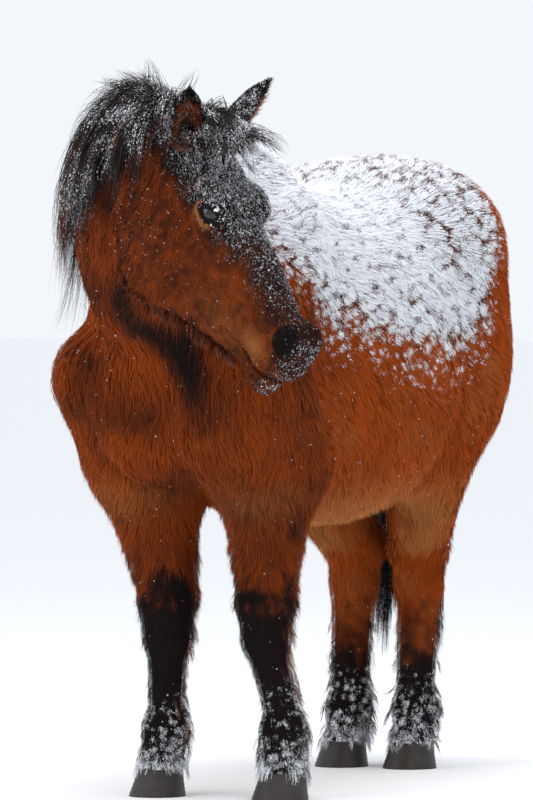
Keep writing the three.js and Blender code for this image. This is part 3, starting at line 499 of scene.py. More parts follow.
LEG_FIELDS = {name: leg_pieces(name) for name in LEGS}


def leg(name, x, y, z):
    """One leg, from the body down to its coronet."""
    d = np.full(len(x), FAR)
    middle = LEGS[name]["bend"]
    # Only the points in a box round the leg are worked out
    near = (z < 980) & (np.abs(x - middle[0]) < 330) & (np.abs(y - middle[1]) < 460)
    k, pieces = LEG_FIELDS[name]
    here = d[near]
    for piece in pieces:
        here = blend(here, piece(x[near], y[near], z[near]), k)
    d[near] = here
    return d


def parts_of(p):
    """The distances of points to trunk, neck, head and legs."""
    x, y, z = p.T
    return {
        "trunk": trunk(x, y, z),
        "neck": neck(x, y, z),
        "head": head(x, y, z),
        **{name: leg(name, x, y, z) for name in LEGS},
    }


def joined(parts, z):
    """All the parts, run softly into one another."""
    d = blend(parts["trunk"], parts["neck"], 80)
    for name in LEGS:
        d = np.where(z < 900, blend(d, parts[name], 75), d)
    return blend(d, parts["head"], 45)


def flesh(p):
    """The outside of the coat, as the solids have it."""
    return joined(parts_of(p), p[:, 2])


SHARE_REACH = 22.0  # how gradually one part of the body gives way to the next


def shares(parts):
    """How far each point belongs to trunk, neck, head and legs. The shares add up to 1."""
    least = np.min(list(parts.values()), axis=0)
    share = {name: np.exp(-(d - least) / SHARE_REACH) for name, d in parts.items()}
    total = sum(share.values())
    return {name: s / total for name, s in share.items()}


def on_legs(share):
    """How far each point belongs to any of the legs."""
    return sum(share[name] for name in LEGS)


def on_head(share):
    """How far the head's markings show, with a short change to the neck's."""
    return ramp(share["head"], 0.3, 0.7)


face_depth = profile([(0, 12), (120, 9), (300, 6), (460, 3.5), (600, 2.5)])
body_depth = profile([(40, 6), (100, 9), (300, 8), (420, 9), (640, 16), (900, 20)])


def coat_depth(p, share):
    """How deep the coat is: the skin lies this far inside the outside of the coat."""
    q = to_head(p)
    on_face = face_depth(q[:, 0]) + 8 * ramp(-q[:, 2], 200, 290) * ramp(-q[:, 0], -330, -150)
    on_face = 1.5 + (on_face - 1.5) * ramp(off_eye(q), 27, 55)
    on_body = body_depth(p[:, 2])
    return mix(on_body, on_face, share["head"])


def skin(p):
    """The surface that the hair grows from."""
    parts = parts_of(p)
    return joined(parts, p[:, 2]) + coat_depth(p, shares(parts))


def skin_with_sockets(p):
    """The skin, with the eyes' sockets and the openings between the lids."""
    d = skin(p)
    q = to_head(p)
    near = off_eye(q) < 60
    sided = from_eye(q[near])
    along, across, outward = (sided @ EYE_AXES.T).T
    upper, lower = lid_edges(along)
    opening = np.maximum(np.maximum(across - upper, lower - across), -outward)
    fold = 1.6 * bell(across, upper + 6.5, 1.9) * ramp(outward, 4, 12) * (np.abs(along) < 24)
    here = d[near] + fold
    here = -blend(-here, opening, 3)
    ball = sided + EYE_AXES[2] * EYE_BALL["sunk"]
    here = np.maximum(here, EYE_BALL["radius"] + 0.5 - np.linalg.norm(ball, axis=-1))
    d[near] = here
    return d


def slope(field, p, reach=1.0):
    """The outward direction of a field."""
    steps = np.eye(3) * reach
    return unit(np.stack([field(p + s) - field(p - s) for s in steps], axis=-1))


def settle(field, p, rounds=2, reach=1.0, most=6.0):
    """Moves points onto the surface of a field."""
    for _ in range(rounds):
        p = p - slope(field, p, reach) * np.clip(field(p), -most, most)[:, None]
    return p


# Surfaces
COARSE = 4  # how many small cells a large cell of the first, rough grid is wide
NEARBY = 1.9  # the surface may pass through a large cell this many cells from it, or nearer
AT_ONCE = 200000  # how many places are worked out at a time


def sampled(field, low, cells, step):
    """A field on a grid of small cells, worked out near its surface and only roughly elsewhere."""
    corners = np.stack(np.meshgrid(*[np.arange(c + 1) for c in cells], indexing="ij"), axis=-1)
    rough = field((low + corners * step * COARSE).reshape(-1, 3)).reshape(corners.shape[:3])
    nearby = np.full(cells, np.inf)
    for a, b, c in product((0, 1), repeat=3):
        nearby = np.minimum(nearby, np.abs(rough[a : a + cells[0], b : b + cells[1], c : c + cells[2]]))
    close = nearby < step * COARSE * NEARBY
    for axis in range(3):
        close = np.repeat(close, COARSE, axis=axis)
        rough = np.repeat(rough, COARSE, axis=axis)
    size = cells * COARSE + 1
    value = rough[: size[0], : size[1], : size[2]].copy()
    asked = np.zeros(size, bool)
    n = size - 1
    for a, b, c in product((0, 1), repeat=3):
        asked[a : a + n[0], b : b + n[1], c : c + n[2]] |= close
    places = np.argwhere(asked)
    for start in range(0, len(places), AT_ONCE):
        some = places[start : start + AT_ONCE]
        value[tuple(some.T)] = field(low + some * step)
    return value


def crossings(value, axis):
    """Where a field changes sign along one axis of its grid.

    Gives the place on the grid before each change, the point of the change and whether it leads out.
    """
    inside = value < 0
    cut = [slice(None)] * 3
    cut[axis] = slice(0, -1)
    after = [slice(None)] * 3
    after[axis] = slice(1, None)
    changed = np.argwhere(inside[tuple(cut)] != inside[tuple(after)])
    for other in {0, 1, 2} - {axis}:
        last = value.shape[other] - 1
        changed = changed[(changed[:, other] > 0) & (changed[:, other] < last)]
    ahead = changed.copy()
    ahead[:, axis] += 1
    before, behind = value[tuple(changed.T)], value[tuple(ahead.T)]
    crossing = changed.astype(float)
    crossing[:, axis] += before / (before - behind)
    return changed, crossing, before < 0


def surface_of(field, low, high, step):
    """The closed surface of a field in a box, as points and four-sided faces, from a grid of cubes."""
    low = np.array(low, float)
    cells = (np.ceil((np.array(high) - low) / (step * COARSE)) + 1).astype(int)
    value = sampled(field, low, cells, step)
    n = cells * COARSE
    totals = np.zeros((int(np.prod(n)), 3))
    counts = np.zeros(int(np.prod(n)))
    quads = []
    for axis in range(3):
        one, two = (axis + 1) % 3, (axis + 2) % 3
        changed, crossing, outward = crossings(value, axis)
        ring = []
        for back_one, back_two in ((0, 0), (1, 0), (1, 1), (0, 1)):
            cell = changed.copy()
            cell[:, one] -= back_one
            cell[:, two] -= back_two
            ids = np.ravel_multi_index(tuple(cell.T), tuple(n))
            ring.append(ids)
            counts += np.bincount(ids, minlength=len(counts))
            for k in range(3):
                totals[:, k] += np.bincount(ids, weights=crossing[:, k], minlength=len(counts))
        ring = np.stack(ring, axis=1)
        ring[~outward] = ring[~outward][:, ::-1]
        quads.append(ring)
    used, faces = np.unique(np.vstack(quads), return_inverse=True)
    points = low + totals[used] / counts[used][:, None] * step
    return points, faces.reshape(-1, 4)


def without(points, faces, drop):
    """A surface without the faces whose corners are all dropped."""
    kept = faces[~np.all(drop[faces], axis=1)]
    used, again = np.unique(kept, return_inverse=True)
    return points[used], again.reshape(kept.shape)


# From the horse's frame to the CAD frame
def hoof_node(leg_name):
    """The name of the solid of a leg's hoof."""
    row = "front" if leg_name.startswith("fore") else "hind"
    return f"hoof_{row}_{leg_name.split('_')[1]}"


def cad_shift():
    """How far the CAD frame's origin is from the horse's own: x from the hooves, y from the eyes."""
    x = np.mean([sum(corner[0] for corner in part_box(hoof_node(name))) / 2 for name in LEGS])
    x -= np.mean([places["hoof"][0] for places in LEGS.values()]) / 1000
    y = np.mean([sum(corner[1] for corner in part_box(f"eye_{side}")) / 2 for side in ("left", "right")])
    y -= np.mean([from_head(EYE * (1, sign, 1))[1] for sign in (1, -1)]) / 1000
    return np.array([x, y, 0.0])


SHIFT = cad_shift()


def in_frame(p):
    """Places in the CAD frame, in metres."""
    return np.asarray(p) / 1000 + SHIFT


def keep_values(mesh, values):
    """Keeps numbers for each point on a mesh, for its material to read."""
    for key, value in values.items():
        layer = mesh.attributes.new(key, "FLOAT", "POINT")
        layer.data.foreach_set("value", np.asarray(value, np.float32))


def new_mesh(name, points, faces, uv=None, normals=None, **values):
    """A mesh object from arrays: points in millimetres, faces of one size, and numbers for each point."""
    mesh = bpy.data.meshes.new(name)
    corners = faces.shape[1]
    mesh.vertices.add(len(points))
    mesh.vertices.foreach_set("co", in_frame(points).astype(np.float32).ravel())
    mesh.loops.add(faces.size)
    mesh.loops.foreach_set("vertex_index", faces.astype(np.int32).ravel())
    mesh.polygons.add(len(faces))
    mesh.polygons.foreach_set("loop_start", np.arange(0, faces.size, corners, dtype=np.int32))
    mesh.update(calc_edges=True)
    mesh.shade_smooth()
    if normals is not None:
        mesh.normals_split_custom_set_from_vertices(normals.astype(np.float32))
    if uv is not None:
        layer = mesh.uv_layers.new(name="OFBake")
        layer.uv.foreach_set("vector", uv[faces.ravel()].astype(np.float32).ravel())
    keep_values(mesh, values)
    made = bpy.data.objects.new(name, mesh)
    bpy.context.scene.collection.objects.link(made)
    return made


# Ears: leaf-shaped cups, in frames of side, opening and length
EAR = {"length": 158.0, "base": np.array([42.0, 68.0, 8.0]), "wall": 6.0}
EAR_POSE = {
    "right": {"up": (-0.18, -0.63, 0.75), "open": (0.6, -0.75, 0.3)},
    "left": {"up": (-0.37, 0.3, 0.88), "open": (0.8, 0.56, 0.19)},
}
ear_width = profile([(-24, 26), (20, 31), (60, 33), (104, 25), (138, 13), (158, 3)])


def ear_shape(p):
    """A hollow leaf, in the frame of side, opening and length."""
    s, o, h = p.T
    width = ear_width(h)
    deep = width * 0.85
    cup = np.maximum(width - EAR["wall"], 0.5)
    tip = np.maximum(h - EAR["length"] + 4, 0) / 6
    outer = (np.sqrt((s / width) ** 2 + (o / deep) ** 2 + tip**2) - 1) * deep
    bottom = np.maximum(-24 - h, outer)
    hollow = (np.hypot(s / cup, (o - deep * 0.75) / (deep * 1.25)) - 1) * cup
    hollow = np.maximum(hollow, np.maximum(16 - h, h - EAR["length"] + 14))
    return -blend(-bottom, hollow, 3) + 1.2


def ear_axes(name):
    """The ear's side, opening and length, in the head's frame."""
    up = unit(np.array(EAR_POSE[name]["up"]))
    opening = np.array(EAR_POSE[name]["open"])
    opening = unit(opening - up * np.dot(opening, up))
    return np.array([np.cross(opening, up), opening, up])


def from_ear(name, p):
    sign = 1 if name == "left" else -1
    return from_head(np.asarray(p) @ ear_axes(name) + EAR["base"] * (1, sign, 1))


def to_ear(name, p):
    sign = 1 if name == "left" else -1
    return (to_head(p) - EAR["base"] * (1, sign, 1)) @ ear_axes(name).T


# The coat's markings, its painted shade and its lie, as functions of place
def lie_of(p, out, share):
    """The direction that the hair lies in, along the surface."""
    x, y, z = p.T
    q = to_head(p)
    sign = np.sign(x)
    down = ramp(z, 1290, 1000) * 0.8 + ramp(y, 900, 1080) * 1.6 + ramp(-y, 20, 200) * 1.6
    down = down * ramp(z, 500, 640)
    on_trunk = np.stack([0.12 * sign * ramp(-y, 0, 150), np.full_like(x, 0.9), -0.12 - down], axis=-1)
    section = nearest_section(p)
    on_neck = -NECK_ALONG[section] * 0.8 + np.array([0, 0, -0.75])
    cheek = ramp(-q[:, 2], 60, 190) * ramp(-q[:, 0], -400, -250)
    aside = np.sign(q[:, 1]) * 0.25 * ramp(np.abs(q[:, 1]), 5, 30)
    on_face = HEAD_AXES[0] * (1 - 0.7 * cheek)[:, None] - HEAD_AXES[2] * (0.25 + 0.75 * cheek)[:, None]
    on_face = on_face + HEAD_AXES[1] * (aside * (1 - cheek))[:, None]
    on_leg = np.array([0.0, 0.16, -1.0])
    lie = unit(on_trunk) * share["trunk"][:, None] + unit(on_neck) * share["neck"][:, None]
    lie = lie + unit(on_face) * share["head"][:, None] + on_leg * on_legs(share)[:, None]
    lie = unit(lie - out * dot(lie, out))
    loose = 1 - 0.75 * share["head"]
    turn = loose * (0.42 * noise(p, 55, 1) + 0.3 * noise(p, 170, 2))
    return turned_about(lie, out, turn)


body_hair_length = profile([(30, 12), (120, 15), (330, 15), (430, 22), (640, 33), (900, 42), (1500, 44)])
face_hair_length = profile([(-40, 34), (60, 24), (160, 15), (300, 13), (460, 8), (560, 4.5)])


def coat_length(p, out, share):
    """How long the hair is: longest on breast, belly and jaw, shortest on the muzzle and by the eyes."""
    q = to_head(p)
    _, y, z = p.T
    length = body_hair_length(z)
    length = length + 16 * ramp(-y, 20, 200) * ramp(z, 600, 760)
    length = length + 22 * ramp(-out[:, 2], 0.35, 0.9) * ramp(z, 500, 560) * ramp(-z, -900, -760)
    jaw = ramp(-q[:, 2], 185, 275) * ramp(-q[:, 0], -420, -260)
    face = face_hair_length(q[:, 0]) + 24 * jaw
    face = face * (0.22 + 0.78 * ramp(off_lids(q), 6, 40))
    return mix(length, face, share["head"])


def fringe_of(p, out):
    """Where the coat stands out in a fringe: breast, forearms, belly and the rear of the thighs."""
    _, y, z = p.T
    front = ramp(-y, -40, 120) * ramp(-z, -980, -640) * ramp(z, 420, 520)
    under = ramp(-out[:, 2], 0.1, 0.7) * ramp(z, 440, 540)
    rear = ramp(y, 960, 1080) * ramp(z, 420, 560)
    return np.clip(np.maximum.reduce([front, under, rear]), 0, 1)


def black_of_legs(p, out, waver, fine):
    """Black from the hooves to above the knees and up to the hocks, browner behind the fore cannons."""
    _, y, z = p.T
    high = z + 60 * waver + 45 * fine
    facing = ramp(-out[:, 1] + 0.25 * fine, -0.45, 0.35)
    fore = (1 - ramp(high, 365, 585)) * (1 - (0.7 - 0.7 * facing) * ramp(z, 110, 220))
    hind = 1 - ramp(high, 180, 460)
    return np.where(y < BETWEEN_LEGS, fore, 0.9 * hind)


def black_and_shade_of_face(p, waver, fine):
    """Black down forehead and nose, round eyes and nostrils, and on lips and chin. Under the jaw it is partly
    dark grey hair and partly painted shade.
    """
    q = to_head(p)
    u, side, v = face_place(p)[:, 0], np.abs(q[:, 1]), q[:, 2]
    off_mouth = v - mouth_line(u)
    top = 0.9 - 0.1 * ramp(u, 230, 340)
    top = top * ramp(v + 26 * waver + 14 * fine, -165, 0) * ramp(-u, -560, -480)
    socket = 0.75 * bell(off_eye(q), 26, 26) * ramp(v, -70, -30)
    lids = ramp(-off_lids(q), -11, -8)
    nostril = ramp(-np.hypot((u - 531) / 38, (v + 55) / 35) + 0.12 * fine, -1.25, -0.8) * ramp(side, 6, 20)
    lips = 0.62 * bell(off_mouth, -3, 12) * ramp(u, 440, 462)
    chin = 0.55 * ramp(-off_mouth, 0, 10) * ramp(u, 462, 490)
    tip = 0.74 * ramp(u + 0.35 * (v + 60) + 6 * fine, 498, 522) * ramp(v, -122, -102)
    under_tip = 0.62 * ramp(u, 526, 546) * ramp(-v, 92, 110)
    # Under the jaw: dark grey winter hair, with painted shade on the jaw's shaded underside
    jaw = 0.62 * ramp(-v - 20 * waver, 215, 285) * ramp(u, 60, 160)
    jaw = jaw + 0.3 * ramp(-v, 175, 215) * ramp(u, 330, 380)
    cheek = 0.5 + 0.14 * fine + 0.1 * waver
    return np.maximum.reduce([top, socket, lids, nostril, lips, chin, tip, under_tip, jaw, cheek])


def black_and_shade_of_body(p, out, share, waver, broad):
    """Painted shadow under the jaw down the throat, with some dark hair there, darker hair on the breast,
    darker over the forehand, and black along the crest.
    """
    x, y, z = p.T
    u, v = face_place(p)[:, 0], to_head(p)[:, 2]
    # Painted shadow that the jaw casts down the throat, mixed into the black with some dark grey hair
    throat = 0.86 * bell(v + 14 * waver + 0.4 * (u - 140), -360, 60) * ramp(u, 60, 130) * ramp(-u, -400, -300)
    throat = throat * (1 - on_head(share)) * ramp(-y, 180, 260)
    breast = 0.6 * ramp(-y, 60, 200) * bell(z, 810, 80) * bell(x, -40, 120) * ramp(broad, -0.6, 0.5)
    forehand = (0.36 + 0.12 * broad + 0.08 * waver) * ramp(-y, -330, 60) + 0.1 * ramp(broad, 0, 0.8)
    inner_arm = 0.05 * ramp(-y, -200, 40) * ramp(x, 20, 90) * ramp(-z, -980, -760)
    crest = 0.85 * share["neck"] * ramp(out[:, 2] + 0.2 * waver, 0.3, 0.75)
    return np.maximum.reduce([throat, breast, forehand + inner_arm, crest])


def black_and_shade_of(p, out, share):
    """How far the coat is black, with painted shade under the jaw and down the throat. Noise of three sizes
    makes the edges uneven.
    """
    waver, fine, broad = noise(p, 34, 4), noise(p, 11, 5), noise(p, 85, 9)
    legs = black_of_legs(p, out, waver, fine) * (1 - share["head"])
    face = black_and_shade_of_face(p, waver, fine) * on_head(share)
    body = black_and_shade_of_body(p, out, share, waver, broad) * (1 - on_head(share))
    return np.clip(np.maximum.reduce([legs, face, body]), 0, 1)


def tan_of(p, out, share):
    """How far the coat is tan: the belly's fringe, the muzzle, under the eyes and the rear of the legs."""
    _, y, z = p.T
    q = to_head(p)
    u, v = face_place(p)[:, 0], q[:, 2]
    head_share = on_head(share)
    broad = noise(p, 70, 10)
    belly = 0.75 * ramp(-out[:, 2], 0.15, 0.9) * ramp(z, 480, 520) * ramp(-z, -740, -600) * ramp(y, 60, 200)
    muzzle = 0.8 * bell(u, 482, 42) * bell(v, -128, 26) * head_share
    rim = 0.85 * bell(off_lids(q), 14, 6) * head_share * ramp(-v - 0.35 * (u - 205), 28, 44)
    cheek = 0.3 * bell(u, 400, 90) * bell(v, -160, 60) * head_share
    cannon = 0.55 * ramp(out[:, 1], -0.1, 0.7) * ramp(-z, -430, -300) * ramp(z, 90, 160) * (y < BETWEEN_LEGS)
    golden = 0.45 * ramp(-y, -20, 80) * bell(z, 640, 50) * ramp(-out[:, 2], 0.0, 0.5)
    glow = 0.22 * ramp(broad, 0.0, 0.8) * (1 - head_share) * ramp(y, 0, 300)
    return np.clip(np.maximum.reduce([belly, muzzle, rim, cheek, cannon, golden, glow]), 0, 1)


# How low the snow reaches at each place along the body
SNOW_EDGE = profile(
    [(-260, 1220), (-120, 1120), (-50, 1080), (10, 1030), (90, 985), (245, 985), (362, 950), (553, 932)]
    + [(740, 945), (829, 1010), (870, 1110), (920, 1210), (1010, 1310)]
)


def snow_of(p, out, share):
    """How far the hair is snowy: the back, the top of the face, the poll and a little on the feet."""
    _, y, z = p.T
    q = to_head(p)
    drift = 0.5 * noise(p, 60, 6) + 0.35 * noise(p, 24, 7)
    edge = z - SNOW_EDGE(y) + 62 * drift
    thin = 0.26 * ramp(y + 90 * drift, 560, 740) * ramp(z, 1080, 1180) + 0.14 * ramp(-z, -1230, -1040)
    thin = thin + 0.2 * ramp(y, 850, 980) + 0.1 * ramp(-y, -160, 20)
    back = ramp(edge, -60, 110) * (0.96 - thin) * ramp(y, -260, -130) * (1 - share["head"])
    face = ramp(q[:, 2] + 26 * drift, -80, 0) * ramp(-q[:, 0], -540, -440)
    top = (0.27 - 0.09 * ramp(q[:, 0], 240, 340)) * face * on_head(share)
    brow = 0.36 * bell(q[:, 0], 160, 50) * ramp(q[:, 2] + 20 * drift, -50, -10) * share["head"]
    muzzle = 0.2 * ramp(face_place(p)[:, 0], 535, 570) * share["head"]
    crest = 0.35 * share["neck"] * ramp(out[:, 2], 0.2, 0.8)
    low = z + 60 * drift
    feet = 0.58 * ramp(-low, -120, -40) + (0.24 + 0.1 * (y > BETWEEN_LEGS)) * ramp(-low, -280, -120)
    dust = 0.14 * ramp(edge, -130, 0) * ramp(y, -60, 100) + 0.03 * share["head"]
    return np.clip(np.maximum.reduce([back, top, brow, muzzle, crest, feet, dust]), 0, 1)


# Skin
store = {}  # the skin's places on the map, for the pieces that come after it
SKIN = {"body_step": 11.5, "head_step": 3.8, "ear_step": 3.0, "head_share": 0.5, "overlap": 0.14}
FLESH_KIND, EAR_KIND, LID_KIND = 0, 1, 2


def tube(path, radii, sides=8):
    """A closed ring of tube along a looped path, as points and faces."""
    along = unit(np.roll(path, -1, axis=0) - np.roll(path, 1, axis=0))
    middle = np.mean(path, axis=0)
    side = unit(np.cross(along, path - middle))
    up = np.cross(side, along)
    angle = np.linspace(0, 2 * np.pi, sides, endpoint=False)
    ring = side[:, None] * np.cos(angle)[None, :, None] + up[:, None] * np.sin(angle)[None, :, None]
    points = path[:, None] + ring * np.asarray(radii)[:, None, None]
    n = len(path)
    i, k = np.meshgrid(np.arange(n), np.arange(sides), indexing="ij")
    j, m = (i + 1) % n, (k + 1) % sides
    faces = np.stack([i * sides + k, i * sides + m, j * sides + m, j * sides + k], axis=-1)
    return points.reshape(-1, 3), faces.reshape(-1, 4)


def lid_rim(sign):
    """The wet rim of one eye's lids, as a ring that lies on the ball, thicker above."""
    half = EYE_OPENING["length"] / 2
    turn = np.linspace(0, 2 * np.pi, 72, endpoint=False)
    a = half * np.cos(turn)
    upper, lower = lid_edges(a)
    c = np.where(np.sin(turn) >= 0, upper, lower)
    radius = EYE_BALL["radius"] + 1.6
    o = np.sqrt(np.maximum(radius**2 - a * a - c * c, 9)) - EYE_BALL["sunk"]
    path = (np.stack([a, c, o], axis=-1) @ EYE_AXES + EYE) * (1, sign, 1)
    thick = 2.3 + 0.9 * ramp(np.sin(turn), 0, 0.8)
    return tube(from_head(path), thick)


def join_surfaces(surfaces):
    """Surfaces put in one, as points and faces."""
    points, faces, start = [], [], 0
    for p, f in surfaces:
        points.append(p)
        faces.append(f + start)
        start += len(p)
    return np.vstack(points), np.vstack(faces)


@lru_cache(maxsize=1)
def skin_surface():
    """The whole skin as points and faces, and the kind of each point: flesh, ear or lid."""
    body, body_faces = surface_of(skin, (-370, -740, 34), (400, 1240, 1520), SKIN["body_step"])
    body = settle(skin, body)
    drop = shares(parts_of(body))["head"] > SKIN["head_share"] + SKIN["overlap"]
    body, body_faces = without(body, body_faces, drop)
    face, face_faces = surface_of(
        lambda q: skin_with_sockets(from_head(q)), (-170, -200, -420), (612, 200, 90), SKIN["head_step"]
    )
    smooth = off_eye(face) > 46
    face = from_head(face)
    face[smooth] = settle(skin, face[smooth])
    drop = shares(parts_of(face))["head"] < SKIN["head_share"]
    face, face_faces = without(face, face_faces, drop)
    cup, cup_faces = surface_of(ear_shape, (-44, -44, -30), (44, 44, 166), SKIN["ear_step"])
    cup = settle(ear_shape, cup, most=1.5)
    ears = [(from_ear(name, cup), cup_faces) for name in EAR_POSE]
    lids = [lid_rim(1), lid_rim(-1)]
    points, faces = join_surfaces([(body, body_faces), (face, face_faces), *ears, *lids])
    counts = [len(body) + len(face), sum(len(ear[0]) for ear in ears), sum(len(lid[0]) for lid in lids)]
    return points, faces, np.repeat((FLESH_KIND, EAR_KIND, LID_KIND), counts)


def faces_of(kind):
    """The skin's points, and its faces of one kind with their places on the map."""
    points, faces, kinds = skin_surface()
    wanted = kinds[faces[:, 0]] == kind
    return points, faces[wanted], store["uv"][wanted]


def ear_faces(name):
    """The skin's points, and the faces of one ear with their places on the map."""
    points, faces, uv = faces_of(EAR_KIND)
    sided = (to_head(points[faces[:, 0]])[:, 1] > 0) == (name == "left")
    return points, faces[sided], uv[sided]


def select_only(obj):
    bpy.ops.object.select_all(action="DESELECT")
    obj.select_set(True)
    bpy.context.view_layer.objects.active = obj


def unwrapped(obj):
    """Unwraps the skin's own shape, and gives the place of each face's corners on the map."""
    select_only(obj)
    bpy.ops.object.mode_set(mode="EDIT")
    bpy.ops.mesh.select_all(action="SELECT")
    bpy.ops.uv.smart_project(angle_limit=math.radians(66), island_margin=0.001)
    bpy.ops.object.mode_set(mode="OBJECT")
    layer = obj.data.uv_layers.active
    layer.name = "OFBake"
    uv = np.empty(len(obj.data.loops) * 2, np.float32)
    layer.uv.foreach_get("vector", uv)
    return uv.reshape(-1, 4, 2)


# Tufts and strands
def roots_on(points, faces, face_uv, weight, count, rng):
    """Places scattered over a surface by area and weight, and where each of them is on the map."""
    corners = points[faces]
    middle = corners.mean(axis=1)
    area = np.linalg.norm(np.cross(corners[:, 2] - corners[:, 0], corners[:, 3] - corners[:, 1]) / 2, axis=1)
    chance = area * weight(middle)
    chosen = rng.choice(len(faces), count, p=chance / chance.sum())
    a, b = rng.random((2, count, 1))
    pull = np.stack([(1 - a) * (1 - b), a * (1 - b), a * b, (1 - a) * b], axis=1)
    return np.sum(corners[chosen] * pull, axis=1), np.sum(face_uv[chosen] * pull, axis=1)


PATCH = 0.003  # the width of a tuft's patch on the bake map


def ribbons(path, side, width):
    """Points and triangles of tapered blades along paths, from a point at the root to one at the tip."""
    count, sections = path.shape[:2]
    half = side * (width / 2)[..., None]
    pairs = np.stack([path[:, 1:-1] - half[:, 1:-1], path[:, 1:-1] + half[:, 1:-1]], axis=2)
    inner = pairs.reshape(count, -1, 3)
    points = np.concatenate([path[:, :1], inner, path[:, -1:]], axis=1)
    each = points.shape[1]
    faces = [(0, 1, 2)]
    for i in range(sections - 3):
        a = 1 + 2 * i
        faces += [(a, a + 2, a + 3), (a, a + 3, a + 1)]
    faces.append((each - 3, each - 1, each - 2))
    faces = np.arange(count)[:, None, None] * each + np.array(faces)[None]
    return points.reshape(-1, 3), faces.reshape(-1, 3)


def patch_uv(uv, sections):
    """A small patch on the bake map for each blade, at its root's place."""
    along = np.linspace(0, PATCH, sections)
    across = np.array([-PATCH / 2, PATCH / 2])
    inner = np.stack(np.meshgrid(along[1:-1], across, indexing="ij"), axis=-1).reshape(-1, 2)[:, ::-1]
    spots = np.concatenate([[(0, 0)], inner, [(0, PATCH)]])
    return (np.clip(uv, PATCH, 1 - PATCH)[:, None] + spots[None]).reshape(-1, 2)


def share_along(sections):
    """How far along the blade each of its points is."""
    along = np.linspace(0, 1, sections)
    return np.concatenate([along[:1], np.repeat(along[1:-1], 2), along[-1:]])


def per_point(value, sections):
    """Spreads a number for each blade, or for each of its sections, over the blade's points."""
    if value.ndim == 1:
        return np.repeat(value, 2 * sections - 2)
    inner = np.repeat(value[:, 1:-1], 2, axis=1)
    return np.concatenate([value[:, :1], inner, value[:, -1:]], axis=1).ravel()


def marked(p, out, share):
    """The coat's markings, with painted shade in the black, at each place. Where the head is tan, it is less
    black.
    """
    black, tan, snow = (mark(p, out, share) for mark in (black_and_shade_of, tan_of, snow_of))
    return {"black": black * (1 - 0.7 * tan * share["head"]), "tan": tan, "snow": snow}


# How wide each kind of lock is, and the seed of its places
LOCKS = {"broad": (23.0, 31), "spiked": (13.0, 43), "fine": (9.0, 37)}


def lock_number(p, size, seed):
    """A number from 0 to 1 that all hairs of one lock share."""
    return lattice(np.round(clump_of(p, size, seed) * 7), seed + 9)


# The tufts of the winter coat: millimetres, radians and shares. A pair is a least and a most
TUFT = {"longer": (0.6, 1.3), "turn": 0.17, "roll": 0.6, "stand": (0.5, 1.15), "shallow": 1.1}
TUFT |= {"reach": 30, "pulled": 45, "pull": (0.5, 1.1), "loose": 0.22, "snowy": 0.5}
TUFT |= {"guards": 0.07, "guard_rise": (2, 12), "spike_rise": 17, "spike_longer": 0.5, "spike_draw": 0.6}
TUFT |= {"slender": 0.032, "width": (0.7, 1.35), "thicker": (0.6, 1.4), "most_move": 22}


def spikes_of(place, out, share, fringe):
    """How far tufts stand up in spiked locks: most in the fringes and behind the fore legs."""
    lock = lock_number(place, *LOCKS["spiked"])
    spike = ramp(lock, 0.5, 0.9) * (0.25 + 0.75 * fringe) * (1 - share["head"])
    rear = np.clip(out[:, 1] + 0.6 * np.abs(out[:, 0]), 0, 1) * on_legs(share) * (place[:, 1] < BETWEEN_LEGS)
    return np.maximum(spike, 0.8 * rear * ramp(lock, 0.4, 0.9))


def lock_colours(marks, place, share, rng):
    """The markings with a change from lock to lock, and with painted shade between the snowy locks."""
    fine, broad = (lock_number(place, *LOCKS[kind]) for kind in ("fine", "broad"))
    uneven = 0.16 * (broad - 0.5) + 0.2 * (fine - 0.5)
    snow = marks["snow"] + uneven * ramp(marks["snow"], 0.03, 0.2)
    black = marks["black"] + 0.16 * (fine - 0.5) * ramp(marks["black"], 0.02, 0.3)
    # Painted shade in the dark gaps between the snow-caked locks
    snow_gap_shade = 0.6 * ramp(snow, 0.25, 0.6) * (1 - share["head"])
    tint = 0.55 * fine + 0.45 * rng.random(len(place))
    return {"black": np.maximum(black, snow_gap_shade), "tan": marks["tan"], "snow": snow, "tint": tint}


def short_blades(path, side, thick, values, uv, out):
    """What hair_mesh needs for tufts of three points, which are thick in the middle only."""
    return path, np.repeat(side[:, None], 3, axis=1), thick[:, None] * (0, 1.0, 0), values, uv, out


